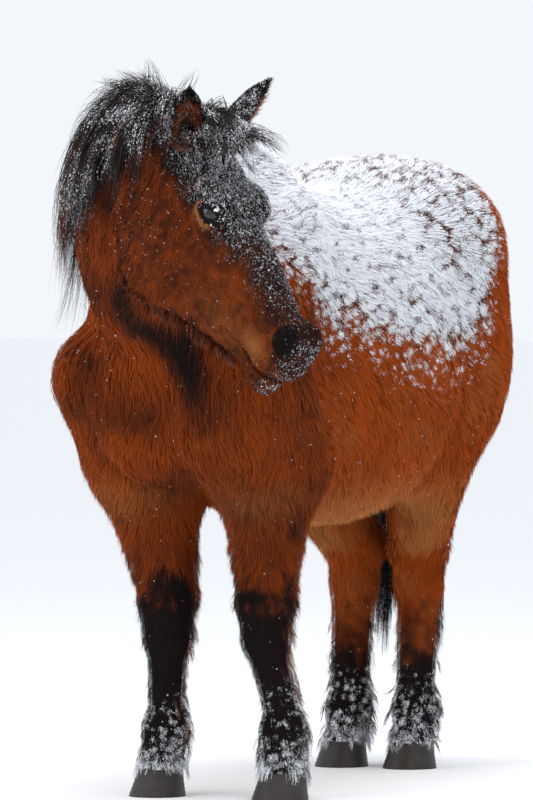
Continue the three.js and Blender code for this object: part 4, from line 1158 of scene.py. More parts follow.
def body_tufts(place, uv, rng, size):
    """The winter coat: fine tapered tufts that lie along the body and draw together in locks."""
    n = len(place)
    share = shares(parts_of(place))
    out = slope(skin, place)
    depth = coat_depth(place, share)
    length = coat_length(place, out, share) * rng.uniform(*TUFT["longer"], n) * size
    lie = turned_about(lie_of(place, out, share), out, rng.normal(0, TUFT["turn"], n))
    marks = marked(place, out, share)
    gather = clump_of(place, *LOCKS["broad"]) - place
    gather = gather - out * dot(gather, out)
    reach = np.minimum(1, TUFT["reach"] / np.maximum(np.linalg.norm(gather, axis=1), 1e-6))
    tight = TUFT["loose"] + TUFT["snowy"] * marks["snow"]
    pull = np.clip(length / TUFT["pulled"], 0.15, 1) * tight * reach * rng.uniform(*TUFT["pull"], n)
    stand = depth * rng.uniform(*TUFT["stand"], n)
    fringe = fringe_of(place, out)
    guard = (rng.random(n) < TUFT["guards"] + 0.1 * fringe) * (1 - share["head"])
    spike = spikes_of(place, out, share, fringe)
    length = length * (1 + TUFT["spike_longer"] * spike)
    rise = guard * rng.uniform(*TUFT["guard_rise"], n) + TUFT["spike_rise"] * spike
    stand = stand + rise * ramp(place[:, 2], 70, 200)
    low = np.minimum(stand, depth * TUFT["shallow"])

    def along(t):
        return place + lie * (length * t)[:, None] + gather * (pull * t**1.5)[:, None]

    root = along(0.0) - out * (low * 0.15)[:, None]
    middle = along(0.5) + out * (low * 0.8)[:, None]
    tip = along(1.0) + (clump_of(place, *LOCKS["spiked"]) - place) * (TUFT["spike_draw"] * spike)[:, None]
    tip = tip - out * np.clip(skin(tip) - stand, -TUFT["most_move"], TUFT["most_move"])[:, None]
    side = turned_about(np.cross(lie, out), lie, rng.normal(0, TUFT["roll"], n))
    thick = np.clip(length * TUFT["slender"], *TUFT["width"]) * rng.uniform(*TUFT["thicker"], n)
    values = lock_colours(marks, place, share, rng)
    return short_blades(np.stack([root, middle, tip], axis=1), side, thick, values, uv, out)


SOFTNESS = 0.72  # how far the tufts are shaded by the body's shape and not by their own


def hair_mesh(name, path, side, width, values, uv, out):
    """One mesh of many blades, shaded partly by the body's shape, as a mass of fine hair is."""
    sections = path.shape[1]
    own = unit(np.cross(path[:, -1] - path[:, 0], side[:, 1]))
    facing = np.where(dot(own, out) < 0, -1, 1)
    own = own * facing
    points, faces = ribbons(path, side * facing[:, :, None], width)
    soft = per_point(np.arange(len(path)), sections)
    normals = unit(own * (1 - SOFTNESS) + out * SOFTNESS)[soft]
    spread = {key: per_point(np.asarray(value), sections) for key, value in values.items()}
    spread["along"] = np.tile(share_along(sections), len(path))
    return new_mesh(name, points, faces, patch_uv(uv, sections), normals, **spread)


COAT = {"bands": 5, "per_band": 87000, "face": 87000, "seed": 7}
BARE_NOSTRIL = np.array([545, 48, 66])  # the middle of the hole in which no hair grows


def tuft_weight(middle):
    """Denser on the lower legs, and nearly bare on the head, which has its own tufts."""
    share = shares(parts_of(middle))
    legs = on_legs(share) * ramp(-middle[:, 2], -640, -420)
    return (1 + 0.9 * legs) * (1 - share["head"] * 0.999)


def face_weight(middle):
    """On the head only: denser on the muzzle, and bare in the nostrils and between the lids."""
    share = shares(parts_of(middle))
    q = to_head(middle)
    open_eye = ramp(off_lids(q), 8, 12)
    hole = ramp(np.linalg.norm(np.abs(face_place(middle)) - BARE_NOSTRIL, axis=1), 14, 26)
    finer = 1 + 1.4 * ramp(q[:, 0], 380, 480)
    return share["head"] * open_eye * hole * finer


def locks_of(settings):
    """The random numbers of a piece of long hair, and which lock each of its strands belongs to."""
    rng = np.random.default_rng(settings["seed"])
    return rng, np.repeat(np.arange(settings["locks"]), settings["strands"])


def rooted(p, depth):
    """Roots moved to a depth under the outside of the coat."""
    return p - slope(flesh, p, SMOOTH) * (flesh(p) + depth)[:, None]


TOUCHING = 6.0  # a strand this near to the coat doesn't go further in
MOST_MOVE = 30.0


def drape(settings, root, lie, fall, length, lift):
    """Paths that set off along their lie, droop towards their fall and lie on the coat.

    lift gives how far above the coat's outside they lie at each share of their length.
    """
    steps = settings["steps"]
    p = root
    direction = unit(lie)
    path = [p]
    for i in range(1, steps + 1):
        height = lift(i / steps)
        direction = mix(direction, fall, settings["droop"])
        out = slope(flesh, p, SMOOTH)
        near = (flesh(p) < height + TOUCHING)[:, None]
        direction = unit(direction - out * np.minimum(dot(direction, out), 0) * near)
        p = p + direction * (length / steps)[:, None]
        clear = flesh(p) - height
        give = np.where(clear < 0, clear, clear * settings["hug"])
        p = p - slope(flesh, p, SMOOTH) * np.clip(give, -MOST_MOVE, MOST_MOVE)[:, None]
        path.append(p)
    return np.stack(path, axis=1)


def strand_sides(path, out, rng, spread=0.7):
    """Directions across the strands, facing outwards with some twist."""
    along = unit(np.gradient(path, axis=1))
    side = unit(np.cross(along, out[:, None, :]))
    roll = rng.normal(0, spread, len(path))
    turned = [turned_about(side[:, i], along[:, i], roll) for i in range(path.shape[1])]
    return np.stack(turned, axis=1)


def taper(width, sections, full):
    """Widths along strands that stay full up to a share of their length and then narrow."""
    t = np.linspace(0, 1, sections)
    shape = np.minimum(1, 0.55 + t * 3) * np.clip((1 - t) / (1 - full), 0, 1) ** 0.7  # finer at the root
    return width[:, None] * shape


def waved(path, rng, much, waves=1.5):
    """Strands with a slight wave, more towards the tips."""
    n, sections = path.shape[:2]
    t = np.linspace(0, 1, sections)[None, :, None]
    along = unit(path[:, -1] - path[:, 0])
    across = unit(np.cross(along, rng.normal(size=(n, 3))))[:, None, :]
    phase = rng.uniform(0, 2 * np.pi, (n, 1, 1))
    swing = rng.normal(0, much, (n, 1, 1))
    return path + across * swing * np.sin(t * 2 * np.pi * waves + phase) * t


def clumped(path, group, draw):
    """Draws the strands of each lock together towards its first strand, more towards the tips."""
    order = np.argsort(group, kind="stable")
    first = order[np.searchsorted(group[order], group)]
    t = np.linspace(0, 1, path.shape[1])[None, :, None]
    return mix(path, path[first], draw * t)


def strands(settings, rng, group, *course):
    """Draped paths, drawn together in locks and waved."""
    path = clumped(drape(settings, *course), group, settings["draw"])
    return waved(path, rng, *settings["wave"])


def widths(settings, path, rng):
    """Widths along the strands, some of them thicker than others."""
    width = settings["width"] * rng.uniform(*settings["thick"], len(path))
    return taper(width, path.shape[1], settings["full"])


def spread_noise(path, size, seed):
    return noise(path.reshape(-1, 3), size, seed).reshape(path.shape[:2])


def hair_values(path, rng, black, tan, snow):
    """The markings of long hair: one number for each strand, or for each of its sections."""
    n = len(path)
    snow = np.clip(snow, 0, 1)
    return {
        "black": np.broadcast_to(black, n),
        "tan": np.broadcast_to(tan, n),
        "snow": snow if np.ndim(snow) == 2 else np.broadcast_to(snow, n),
        "tint": rng.random(n),
    }


def section_at(t):
    """The neck's section at share t of the way from the poll to the withers."""
    return np.clip(np.round((1 - t) * NECK_SECTIONS), 0, NECK_SECTIONS).astype(int)


def along_crest(t):
    """Smooth places along the crest of the neck, t from the poll to the withers."""
    steps = np.linspace(0, 1, NECK_SECTIONS + 1)
    i = section_at(steps)
    p = NECK_AT[i] + NECK_CREST[i] * (neck_half_tall(i / NECK_SECTIONS) + 30)[:, None]
    for _ in range(4):
        p = p - slope(flesh, p, SMOOTH) * (0.9 * flesh(p))[:, None]
    return np.stack([np.interp(t, steps, p[:, k]) for k in range(3)], axis=-1)


# Long hair, in millimetres. At each step a strand droops by a share towards its fall and hugs the coat
# by a share. It is drawn by a share to the first strand of its lock, and its wave has a height and a number.
LEFTWARD = np.array([-0.927, -0.375, 0.0])  # the way the wind blows the hair
MANE = {"locks": 250, "strands": 40, "right": 380.0, "left": 70.0, "seed": 11, "steps": 7}
MANE |= {"droop": 0.42, "hug": 0.62, "draw": 0.45, "wave": (11.0, 1.3)}
MANE |= {"width": 1.3, "thick": (0.6, 1.5), "full": 0.55}
FORELOCK = {"locks": 150, "strands": 32, "length": 125.0, "seed": 5, "steps": 7}
FORELOCK |= {"droop": 0.33, "hug": 0.4, "draw": 0.5, "wave": (9.0, 1.3)}
FORELOCK |= {"width": 1.2, "thick": (0.6, 1.5), "full": 0.55}
CROWN = {"locks": 130, "strands": 14, "length": 105.0, "seed": 17, "steps": 6}
CROWN |= {"droop": 0.3, "hug": 0.1, "draw": 0.45, "wave": (6.0, 1.0)}
CROWN |= {"width": 0.9, "thick": (0.7, 1.3), "full": 0.55}
TAIL = {"locks": 150, "strands": 36, "tip_height": 190.0, "seed": 23, "steps": 9}
TAIL |= {"droop": 0.55, "hug": 0.0, "draw": 0.75, "wave": (12.0, 1.7)}
TAIL |= {"width": 1.9, "thick": (0.7, 1.4), "full": 0.7}
FEATHER = {"locks": 150, "strands": 14, "length": 48.0, "seed": 41, "steps": 5}
FEATHER |= {"fore": (440, 62), "hind": (330, 62)}  # the highest and lowest roots
FEATHER |= {"droop": 0.45, "hug": 0.4, "draw": 0.35, "wave": (3.0, 1.0)}
FEATHER |= {"width": 1.0, "thick": (0.5, 1.1), "full": 0.55}
BEARD = {"locks": 90, "strands": 20, "length": 34.0, "seed": 53, "steps": 5}
BEARD |= {"droop": 0.4, "hug": 0.0, "draw": 0.2, "wave": (3.0, 1.0)}
BEARD |= {"width": 0.9, "thick": (0.6, 1.4), "full": 0.55}
DOCK_POINTS = [(0, 1120, 1215), (0, 1165, 1190), (0, 1192, 1125), (0, 1200, 1040), (0, 1202, 950)]


def mane_strands():
    """Locks that fall to both sides of the crest, shorter on the near side, and blown a little."""
    rng, group = locks_of(MANE)
    locks, n = MANE["locks"], len(group)
    t = np.clip(rng.uniform(0.0, 0.93, locks)[group] + rng.normal(0, 0.014, n), 0, 0.95)
    right = (rng.random(locks) < 0.88)[group] | (t < 0.3)
    i = section_at(t)
    aside = NECK_SIDE[i] * np.where(right, 1.0, -1.0)[:, None]
    root = rooted(along_crest(t) + aside * np.abs(rng.normal(0, 16, n))[:, None], 22)
    sway = rng.normal(size=(locks, 5))[group]
    rise = UP * (0.75 + 0.25 * sway[:, 4:]) * (1 - 0.6 * t)[:, None]
    lie = aside * (0.6 + 0.35 * sway[:, :1]) + rise + NECK_ALONG[i] * 0.35 * sway[:, 1:2]
    fall = aside * 0.05 - UP + LEFTWARD * (0.14 + 0.12 * sway[:, 3:4]) * right[:, None]
    fall = fall + NECK_ALONG[i] * 0.26 * sway[:, 2:3]
    long = np.where(right, MANE["right"], MANE["left"]) * np.clip(1 + 0.3 * sway[:, 3], 0.45, 1.6)
    long = long * rng.uniform(0.6, 1.1, n) * (0.6 + 0.4 * ramp(t, 0.1, 0.35))
    bulk = rng.uniform(2, 30, n) + 22 * ramp(-t, -0.4, -0.05) * rng.random(n)
    path = strands(MANE, rng, group, root, lie, unit(fall), long, lambda s: bulk * (0.7 + 0.5 * s))
    width = widths(MANE, path, rng)
    snow = 0.06 + 0.36 * spread_noise(path, 28, 12) + 0.26 * ramp(path[..., 2], 1370, 1450)
    return path, width, hair_values(path, rng, 0.97 - 0.4 * (sway[:, 0] > 0.9), 0.12, snow), rng


def forelock_strands():
    """Hair that falls from the poll over the forehead and round the ears, tousled and full of snow."""
    rng, group = locks_of(FORELOCK)
    locks, n = FORELOCK["locks"], len(group)
    fan = rng.uniform(-1.15, 0.85, locks)[group] + rng.normal(0, 0.07, n)
    back = rng.uniform(-34, 30, locks)[group] + rng.normal(0, 4, n)
    root = rooted(from_head(np.stack([8 + back, fan * 44, 34 - 10 * fan**2], axis=-1)), 10)
    sway = rng.normal(size=(locks, 5))[group]
    face, left, forehead = HEAD_AXES
    outward = np.minimum(fan * 0.9 + 0.4 * sway[:, 3], 0.5)[:, None]
    lie = face * (0.3 + 0.4 * sway[:, :1]) + left * outward + forehead * 0.9
    drift = np.minimum(fan * 0.35 + 0.35 * sway[:, 1], 0.05)[:, None]
    fall = face + left * drift - forehead * 0.3
    long = FORELOCK["length"] * np.clip(1 + 0.35 * sway[:, 2], 0.4, 1.5) * rng.uniform(0.6, 1.05, n)
    long = long * (1 - 0.3 * np.abs(fan) - 0.3 * np.maximum(fan, 0))
    bulk = 4 + 58 * rng.random(n) ** 1.3

    def lift(s):
        return bulk * min(1.0, 2.5 * s) * (1.15 - 0.6 * s)

    path = strands(FORELOCK, rng, group, root, lie, unit(fall), long, lift)
    width = widths(FORELOCK, path, rng)
    snow = 0.2 + 0.42 * spread_noise(path, 22, 13) + 0.2 * ramp(path[..., 2], 1440, 1490)
    return path, width, hair_values(path, rng, 0.9, 0.1, snow), rng


def crown_strands():
    """Wind-blown hair that stands up over the poll and the front of the crest."""
    rng, group = locks_of(CROWN)
    locks, n = CROWN["locks"], len(group)
    t = np.clip(rng.uniform(-0.1, 0.42, locks)[group] + rng.normal(0, 0.01, n), 0, 1)
    root = rooted(along_crest(t) + NECK_SIDE[section_at(t)] * rng.normal(0, 18, n)[:, None], 14)
    sway = rng.normal(size=(locks, 3))[group]
    lie = UP * 0.7 + LEFTWARD * 0.5 + sway * 0.35
    fall = LEFTWARD - UP * 0.25 + sway * 0.4
    long = CROWN["length"] * rng.uniform(0.5, 1.3, n)
    path = strands(CROWN, rng, group, root, lie, fall, long, lambda s: 10 + 26 * s)
    width = widths(CROWN, path, rng)
    snow = 0.1 + 0.4 * spread_noise(path, 20, 14)
    return path, width, hair_values(path, rng, 0.85, 0.2, snow), rng


def tail_strands():
    """The tail's hair, which falls from the rear and sides of the dock to above the fetlocks."""
    rng, group = locks_of(TAIL)
    locks, n = TAIL["locks"], len(group)
    t = rng.uniform(0.05, 1.0, locks)[group]
    fan = rng.uniform(-1, 1, locks)[group] + rng.normal(0, 0.05, n)
    points = np.array(DOCK_POINTS, float)
    dock = np.array([on_curve(points, s) for s in np.linspace(0, 1, 41)])
    away = np.stack([np.sin(fan * 1.9), np.cos(fan * 1.9) * 0.8, np.zeros_like(fan)], axis=-1)
    root = dock[np.round(t * 40).astype(int)] + away * (26 - 12 * t)[:, None]
    sway = rng.normal(size=(locks, 3))[group]
    lie = away * (0.3, 0.4, 0) + (0, 0.1, -0.6) + sway * 0.06
    fall = np.stack([fan * 0.01 - 0.05, np.zeros_like(fan), np.full_like(fan, -1)], axis=-1) + sway * 0.02
    kept = 1 - 0.12 * rng.random(n) - 0.22 * rng.random(locks)[group]
    long = (root[:, 2] - TAIL["tip_height"]) * kept
    bulk = rng.uniform(3, 20, n)
    path = strands(TAIL, rng, group, root, lie, unit(fall), long, lambda s: bulk)
    width = widths(TAIL, path, rng)
    snow = -0.1 + 0.5 * spread_noise(path, 30, 15)
    return path, width, hair_values(path, rng, 0.97, 0.0, snow), rng


def leg_feather(name, places, rng, group):
    """The long hair of one leg: its paths, and how far each strand is black and tan."""
    fore = name.startswith("fore")
    top, lowest = FEATHER["fore" if fore else "hind"]
    locks, n = FEATHER["locks"], len(group)
    low = (rng.random(locks) ** 1.6)[group] + rng.normal(0, 0.02, n)
    height = lowest + (top - lowest) * np.clip(low, 0, 1)
    spread = 0.9 + 1.1 * ramp(-height, -150, -90)
    turn = rng.normal(0, 1.0, locks)[group] * spread + rng.normal(0, 0.08, n)
    away = np.stack([np.sin(turn), np.cos(turn), np.zeros(n)], axis=-1)
    fetlock, bend = np.array(places["fetlock"], float), np.array(places["bend"], float)
    root = mix(fetlock, bend, np.clip((height - fetlock[2]) / (bend[2] - fetlock[2]), 0, 1)[:, None])
    root[:, 2] = height
    root = settle(skin, root + away * 40, 3, SMOOTH, 20)
    sway = rng.normal(size=(locks, 3))[group]
    lie = away * 0.8 + (0, 0.1, -0.7) + sway * 0.22
    fall = away * 0.3 + (0, 0.12, -1.0) + sway * 0.16
    long = FEATHER["length"] * (1.15 - 0.35 * low) * rng.uniform(0.6, 1.1, n)
    bulk = rng.uniform(2, 15, n)
    path = strands(FEATHER, rng, group, root, lie, unit(fall), long, lambda s: bulk * s)
    path[..., 2] = np.maximum(path[..., 2], 6 + 4 * rng.random(n)[:, None])
    dark = rng.random(locks)[group] + rng.normal(0, 0.1, n)
    black = np.clip((0.45 if fore else 0.8) + 0.5 * dark + 0.4 * ramp(-height, -140, -90), 0.1, 1)
    return path, black, np.clip(0.8 - dark, 0, 0.8) * (0.9 if fore else 0.3)


def feather_strands():
    """The long hair behind the cannons and round the feet, down to the hooves."""
    rng, group = locks_of(FEATHER)
    legs = [leg_feather(name, places, rng, group) for name, places in LEGS.items()]
    path, black, tan = (np.concatenate(column) for column in zip(*legs))
    width = widths(FEATHER, path, rng)
    low = path[..., 2] + 40 * spread_noise(path, 22, 18)
    snow = 0.62 * ramp(-low, -110, -30) + 0.26 * ramp(-low, -280, -120)
    return path, width, hair_values(path, rng, black, tan, snow), rng


def beard_strands():
    """The longer winter hair that hangs from the edges of the jaw."""
    rng, group = locks_of(BEARD)
    locks, n = BEARD["locks"], len(group)
    u = rng.uniform(120, 450, locks)[group] + rng.normal(0, 6, n)
    aside = rng.uniform(-1, 1, locks)[group] * 34 + rng.normal(0, 3, n)
    low = np.interp(u, (100, 180, 300, 460), (-255, -292, -255, -205))
    root = rooted(from_head(np.stack([u, aside, low + 8], axis=-1)), 8)
    sway = rng.normal(size=(locks, 3))[group]
    face, _, forehead = HEAD_AXES
    lie = slope(flesh, root, SMOOTH) * 0.7 + face * 0.3 + sway * 0.1
    fall = -UP - forehead * 0.3 + face * 0.1 + sway * 0.14
    long = BEARD["length"] * rng.uniform(0.5, 1.15, n) * (1 - 0.4 * ramp(u, 330, 450))
    path = strands(BEARD, rng, group, root, lie, unit(fall), long, lambda s: 3)
    width = widths(BEARD, path, rng)
    return path, width, hair_values(path, rng, 0.42 + 0.2 * rng.random(n), 0.1, 0.02), rng


FLAKES = {"count": 5200, "small": 0.55, "large": 1.8, "seed": 61}


def snow_flakes(place, rng):
    """Small eight-sided crystals of snow caught on the tips of the coat."""
    share = shares(parts_of(place))
    out = slope(flesh, place, SMOOTH)
    place = settle(flesh, place, 2, SMOOTH, 25) + out * rng.uniform(-4, 2, len(place))[:, None]
    size = mix(FLAKES["small"], FLAKES["large"], rng.random(len(place)) ** 2) * (1 - 0.3 * share["head"])
    size = size * np.where(rng.random(len(place)) < 0.02, 1.9, 1)
    ends = np.array([(1, 0, 0), (-1, 0, 0), (0, 1, 0), (0, -1, 0), (0, 0, 1), (0, 0, -1)], float)
    stretch = rng.uniform(0.6, 1.3, (len(place), 6, 1))
    points = place[:, None] + ends[None] * stretch * size[:, None, None]
    faces = np.array([(0, 2, 4), (2, 1, 4), (1, 3, 4), (3, 0, 4), (2, 0, 5), (1, 2, 5), (3, 1, 5), (0, 3, 5)])
    faces = np.arange(len(place))[:, None, None] * 6 + faces[None]
    return points.reshape(-1, 3), faces.reshape(-1, 3)


def flake_weight(middle):
    """Most on the snowy parts of the face, few on the clean coat."""
    share = shares(parts_of(middle))
    out = slope(flesh, middle, SMOOTH)
    snow = snow_of(middle, out, share)
    facing = ramp(out[:, 2], -0.3, 0.5)
    return 0.025 + 0.35 * share["head"] * facing + 1.6 * snow * share["head"] + 0.5 * snow * (snow < 0.45)


EAR_FUR = {"count": 13000, "seed": 29}


def ear_tufts(name, place, uv, rng):
    """Short hair over an ear, black at its rim, with longer and browner hair inside the cup."""
    q = to_ear(name, place)
    local = slope(ear_shape, q, 0.6)
    axes = ear_axes(name) @ HEAD_AXES
    out = unit(local @ axes)
    width = ear_width(q[:, 2])
    inside = (q[:, 1] > -0.25 * width) & (np.abs(q[:, 0]) < 0.86 * width) & (local[:, 1] > 0.1)
    lie = np.stack([-np.sign(q[:, 0]) * 0.35 * inside, 0.35 * inside, np.ones(len(q))], axis=-1) @ axes
    lie = unit(lie - out * dot(lie, out))
    lie = turned_about(lie, out, rng.normal(0, 0.22, len(place)))
    length = np.where(inside, rng.uniform(10, 36, len(q)), rng.uniform(7, 19, len(q)))
    length = length * (1 - 0.5 * ramp(q[:, 2], 90, 140))
    stand = np.where(inside, 0.45, 0.3) * length
    middle = place + lie * (length * 0.5)[:, None] + out * (stand * 0.7)[:, None]
    tip = place + lie * length[:, None] + out * stand[:, None]
    path = np.stack([place - out * 0.8, middle, tip], axis=1)
    side = turned_about(np.cross(lie, out), lie, rng.normal(0, 0.6, len(q)))
    thick = rng.uniform(0.6, 1.3, len(q))
    values = ear_marks(q, local)
    values["snow"] = np.where(inside, 0.16, 0.34) * (0.5 + 0.9 * np.clip(noise(place, 14, 16), -0.4, 1))
    values["tint"] = rng.random(len(q))
    return short_blades(path, side, thick, values, uv, out)


def ear_marks(q, local):
    """The markings of an ear: black at rim, tip and back, and browner inside the cup."""
    width = ear_width(q[:, 2])
    inside = (local[:, 1] > 0.1) * ramp(-np.abs(q[:, 0]), -0.92 * width, -0.7 * width)
    rim = np.clip(bell(np.abs(q[:, 0]), 0.97 * width, 0.1 * width + 2), 0, 1)
    tip = ramp(q[:, 2], 95, 125)
    black = np.clip(np.maximum.reduce([rim, tip, 0.8 * (1 - inside)]), 0, 1)
    black = np.maximum(black, inside * (0.62 - 0.2 * ramp(q[:, 2], 20, 90) + 0.25 * noise(q, 9, 19)))
    return {"black": black, "tan": 0.2 * inside * (1 - tip), "snow": np.zeros(len(q))}


# Materials
def group_of(name, inputs, outputs):
    """An empty shader node group with named sockets."""
    tree = bpy.data.node_groups.new(name, "ShaderNodeTree")
    for label, kind in inputs:
        tree.interface.new_socket(name=label, in_out="INPUT", socket_type=kind)
    for label, kind in outputs:
        tree.interface.new_socket(name=label, in_out="OUTPUT", socket_type=kind)
    return tree, tree.nodes.new("NodeGroupInput"), tree.nodes.new("NodeGroupOutput")


def sum_of(tree, *terms):
    """Adds terms, each a number, a socket, or a socket with its factor."""
    total = None
    for term in terms:
        source, factor = term if isinstance(term, tuple) else (term, None)
        if factor is not None:
            source = maths(tree, "MULTIPLY", source, factor)
        total = source if total is None else maths(tree, "ADD", total, source)
    return total


def maths(tree, operation, a, b=0.0, clamp=False):
    node = tree.nodes.new("ShaderNodeMath")
    node.operation = operation
    node.use_clamp = clamp
    for socket, value in zip(node.inputs, (a, b)):
        if isinstance(value, (int, float)):
            socket.default_value = value
        else:
            tree.links.new(value, socket)
    return node.outputs[0]


def blended(tree, share, a, b, way="MIX"):
    node = tree.nodes.new("ShaderNodeMix")
    node.data_type = "RGBA"
    node.blend_type = way
    for socket, value in zip((node.inputs[0], node.inputs[6], node.inputs[7]), (share, a, b)):
        if isinstance(value, (int, float, tuple)):
            socket.default_value = value
        else:
            tree.links.new(value, socket)
    return node.outputs[2]


def stepped(tree, value, low, high):
    node = tree.nodes.new("ShaderNodeMapRange")
    node.interpolation_type = "SMOOTHSTEP"
    tree.links.new(value, node.inputs["Value"])
    node.inputs["From Min"].default_value = low
    node.inputs["From Max"].default_value = high
    return node.outputs["Result"]


def grain(tree, scale, detail=2.0):
    """Noise on the piece's own coordinates."""
    place = tree.nodes.new("ShaderNodeTexCoord")
    node = tree.nodes.new("ShaderNodeTexNoise")
    node.inputs["Scale"].default_value = scale
    node.inputs["Detail"].default_value = detail
    tree.links.new(place.outputs["Object"], node.inputs["Vector"])
    return node.outputs["Fac"]


def lumps(tree, scale):
    """How far each place is from the middle of its lump of caked snow, lumps being longer than wide."""
    place = tree.nodes.new("ShaderNodeTexCoord")
    stretch = tree.nodes.new("ShaderNodeMapping")
    stretch.inputs["Scale"].default_value = (1.15, 0.62, 1.0)
    node = tree.nodes.new("ShaderNodeTexVoronoi")
    node.inputs["Scale"].default_value = scale
    tree.links.new(place.outputs["Object"], stretch.inputs["Vector"])
    tree.links.new(stretch.outputs["Vector"], node.inputs["Vector"])
    return node.outputs["Distance"]


def attribute(tree, name):
    node = tree.nodes.new("ShaderNodeAttribute")
    node.attribute_name = name
    return node.outputs["Fac"]


HAIR_COLOURS = ("Coat", "Black hair", "Tan hair", "Snow colour")
# The Black mask holds black hair and also painted shade under the jaw, down the throat and between snowy
# locks
OWN_MASKS = ("Black", "Tan", "Snow", "Tint", "Along")  # kept on each piece
PATTERN_MASKS = ("Patches", "Flecks", "Lumps")
GRAIN = {"patches": 7.0, "flecks": 220.0, "horn": 60.0}  # grains to the metre
CAKING = {"coat": 52.0, "face": 330.0, "long": 210.0}  # lumps of caked snow to the metre


def hair_colour_group():
    """Mixes the coat's colours by its markings, each tuft's tint and the way from root to tip."""
    inputs = [(label, "NodeSocketColor") for label in HAIR_COLOURS]
    inputs += [(label, "NodeSocketFloat") for label in OWN_MASKS + PATTERN_MASKS]
    tree, given, made = group_of("Hair colour", inputs, [("Color", "NodeSocketColor")])
    read = given.outputs
    light = sum_of(tree, 0.42, (read["Tint"], 0.5), (read["Along"], 0.34), (read["Patches"], 0.5))
    paler = blended(tree, maths(tree, "MULTIPLY", read["Tan"], 1.0, True), read["Coat"], read["Tan hair"])
    dark = sum_of(tree, (read["Black"], 1.25), (read["Tint"], 0.2), -0.2)
    darker = blended(tree, stepped(tree, dark, 0.0, 0.95), paler, read["Black hair"])
    lit = tree.nodes.new("ShaderNodeCombineColor")
    for socket in lit.inputs:
        tree.links.new(light, socket)
    shaded = blended(tree, 1.0, darker, lit.outputs[0], "MULTIPLY")
    hair = ((read["Flecks"], 1.5), (read["Tint"], 0.15), (read["Along"], 0.25))
    caked = sum_of(tree, read["Snow"], *hair, -0.36, (read["Lumps"], -1.2))
    white = maths(tree, "MULTIPLY", stepped(tree, caked, 0.4, 0.6), stepped(tree, read["Snow"], 0.02, 0.14))
    snowy = blended(tree, white, shaded, read["Snow colour"])
    tree.links.new(snowy, made.inputs["Color"])
    return tree


def new_material(name, roughness, specular=0.3, **sockets):
    material = bpy.data.materials.new(name)
    material.use_nodes = True
    shader = material.node_tree.nodes["Principled BSDF"]
    shader.inputs["Roughness"].default_value = roughness
    shader.inputs["Specular IOR Level"].default_value = specular
    for key, value in sockets.items():
        shader.inputs[key.replace("_", " ")].default_value = value
    return material, material.node_tree, shader


def hair_material(name, group, look, roughness, specular, caking):
    """A coat of hair in the horse's colours, with snow caked in lumps of some size."""
    material, tree, shader = new_material(name, roughness, specular)
    node = tree.nodes.new("ShaderNodeGroup")
    node.node_tree = group
    for label, value in zip(HAIR_COLOURS, (look.coat, look.black, look.tan, look.snow)):
        node.inputs[label].default_value = (*value, 1)
    for label in OWN_MASKS:
        tree.links.new(attribute(tree, label.lower()), node.inputs[label])
    tree.links.new(grain(tree, GRAIN["patches"]), node.inputs["Patches"])
    tree.links.new(grain(tree, GRAIN["flecks"]), node.inputs["Flecks"])
    tree.links.new(lumps(tree, caking), node.inputs["Lumps"])
    tree.links.new(node.outputs["Color"], shader.inputs["Base Color"])
    return material


EYE_COLOURS = {
    "outer": (0.014, 0.012, 0.014, 1),
    "iris": (0.012, 0.007, 0.006, 1),
    "pupil": (0.002, 0.002, 0.003, 1),
}
HORN_COLOURS = ((0.012, 0.01, 0.009, 1), (0.04, 0.032, 0.027, 1))


def eye_material():
    material, tree, shader = new_material("Wet dark eye", 0.06, 0.35, Coat_Weight=0.35, Coat_Roughness=0.03)
    iris, pupil = attribute(tree, "iris"), attribute(tree, "pupil")
    brown = blended(tree, iris, EYE_COLOURS["outer"], EYE_COLOURS["iris"])
    tree.links.new(blended(tree, pupil, brown, EYE_COLOURS["pupil"]), shader.inputs["Base Color"])
    return material


def horn_material():
    material, tree, shader = new_material("Hoof horn", 0.5, 0.35)
    horn = blended(tree, grain(tree, GRAIN["horn"], 6.0), *HORN_COLOURS)
    tree.links.new(horn, shader.inputs["Base Color"])
    return material


@lru_cache(maxsize=1)
def finishes():
    """The materials of the horse."""
    look = bpy.context.scene.horse_look
    group = hair_colour_group()
    made = {
        "coat": hair_material("Winter coat", group, look, 0.8, 0.04, CAKING["coat"]),
        "face": hair_material("Short coat of the head", group, look, 0.8, 0.04, CAKING["face"]),
        "skin": hair_material("Skin under the coat", group, look, 0.85, 0.04, CAKING["coat"]),
        "long": hair_material("Mane and tail hair", group, look, 0.6, 0.14, CAKING["long"]),
    }
    made["flakes"], _, shader = new_material("Snow crystals", 0.5, 0.4)
    shader.inputs["Base Color"].default_value = (*look.snow, 1)
    made["eye"] = eye_material()
    made["hoof"] = horn_material()
    return made


def finish_piece(obj, slot, material, *replaced):
    """Gives a piece its material, hangs it on the root, and hides the parts that it stands for."""
    obj.data.materials.clear()
    obj.data.materials.append(finishes()[material])
    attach(obj, "root")
    if replaced:
        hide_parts(*replaced)
    return obj


# Settings
class HorseSizes(bpy.types.PropertyGroup):
    """How full the coat is."""

    coat_length: bpy.props.FloatProperty(
        name="Coat length",
        description="Length of the winter coat against a usual one",
        default=1.0,
        min=0.3,
        max=2,
    )
    density: bpy.props.FloatProperty(
        name="Coat density", description="Share of the full number of tufts", default=1.0, min=0.05, max=1
    )


def colour_setting(name, description, default):
    return bpy.props.FloatVectorProperty(
        name=name, description=description, default=default, subtype="COLOR", size=3, min=0, max=1
    )


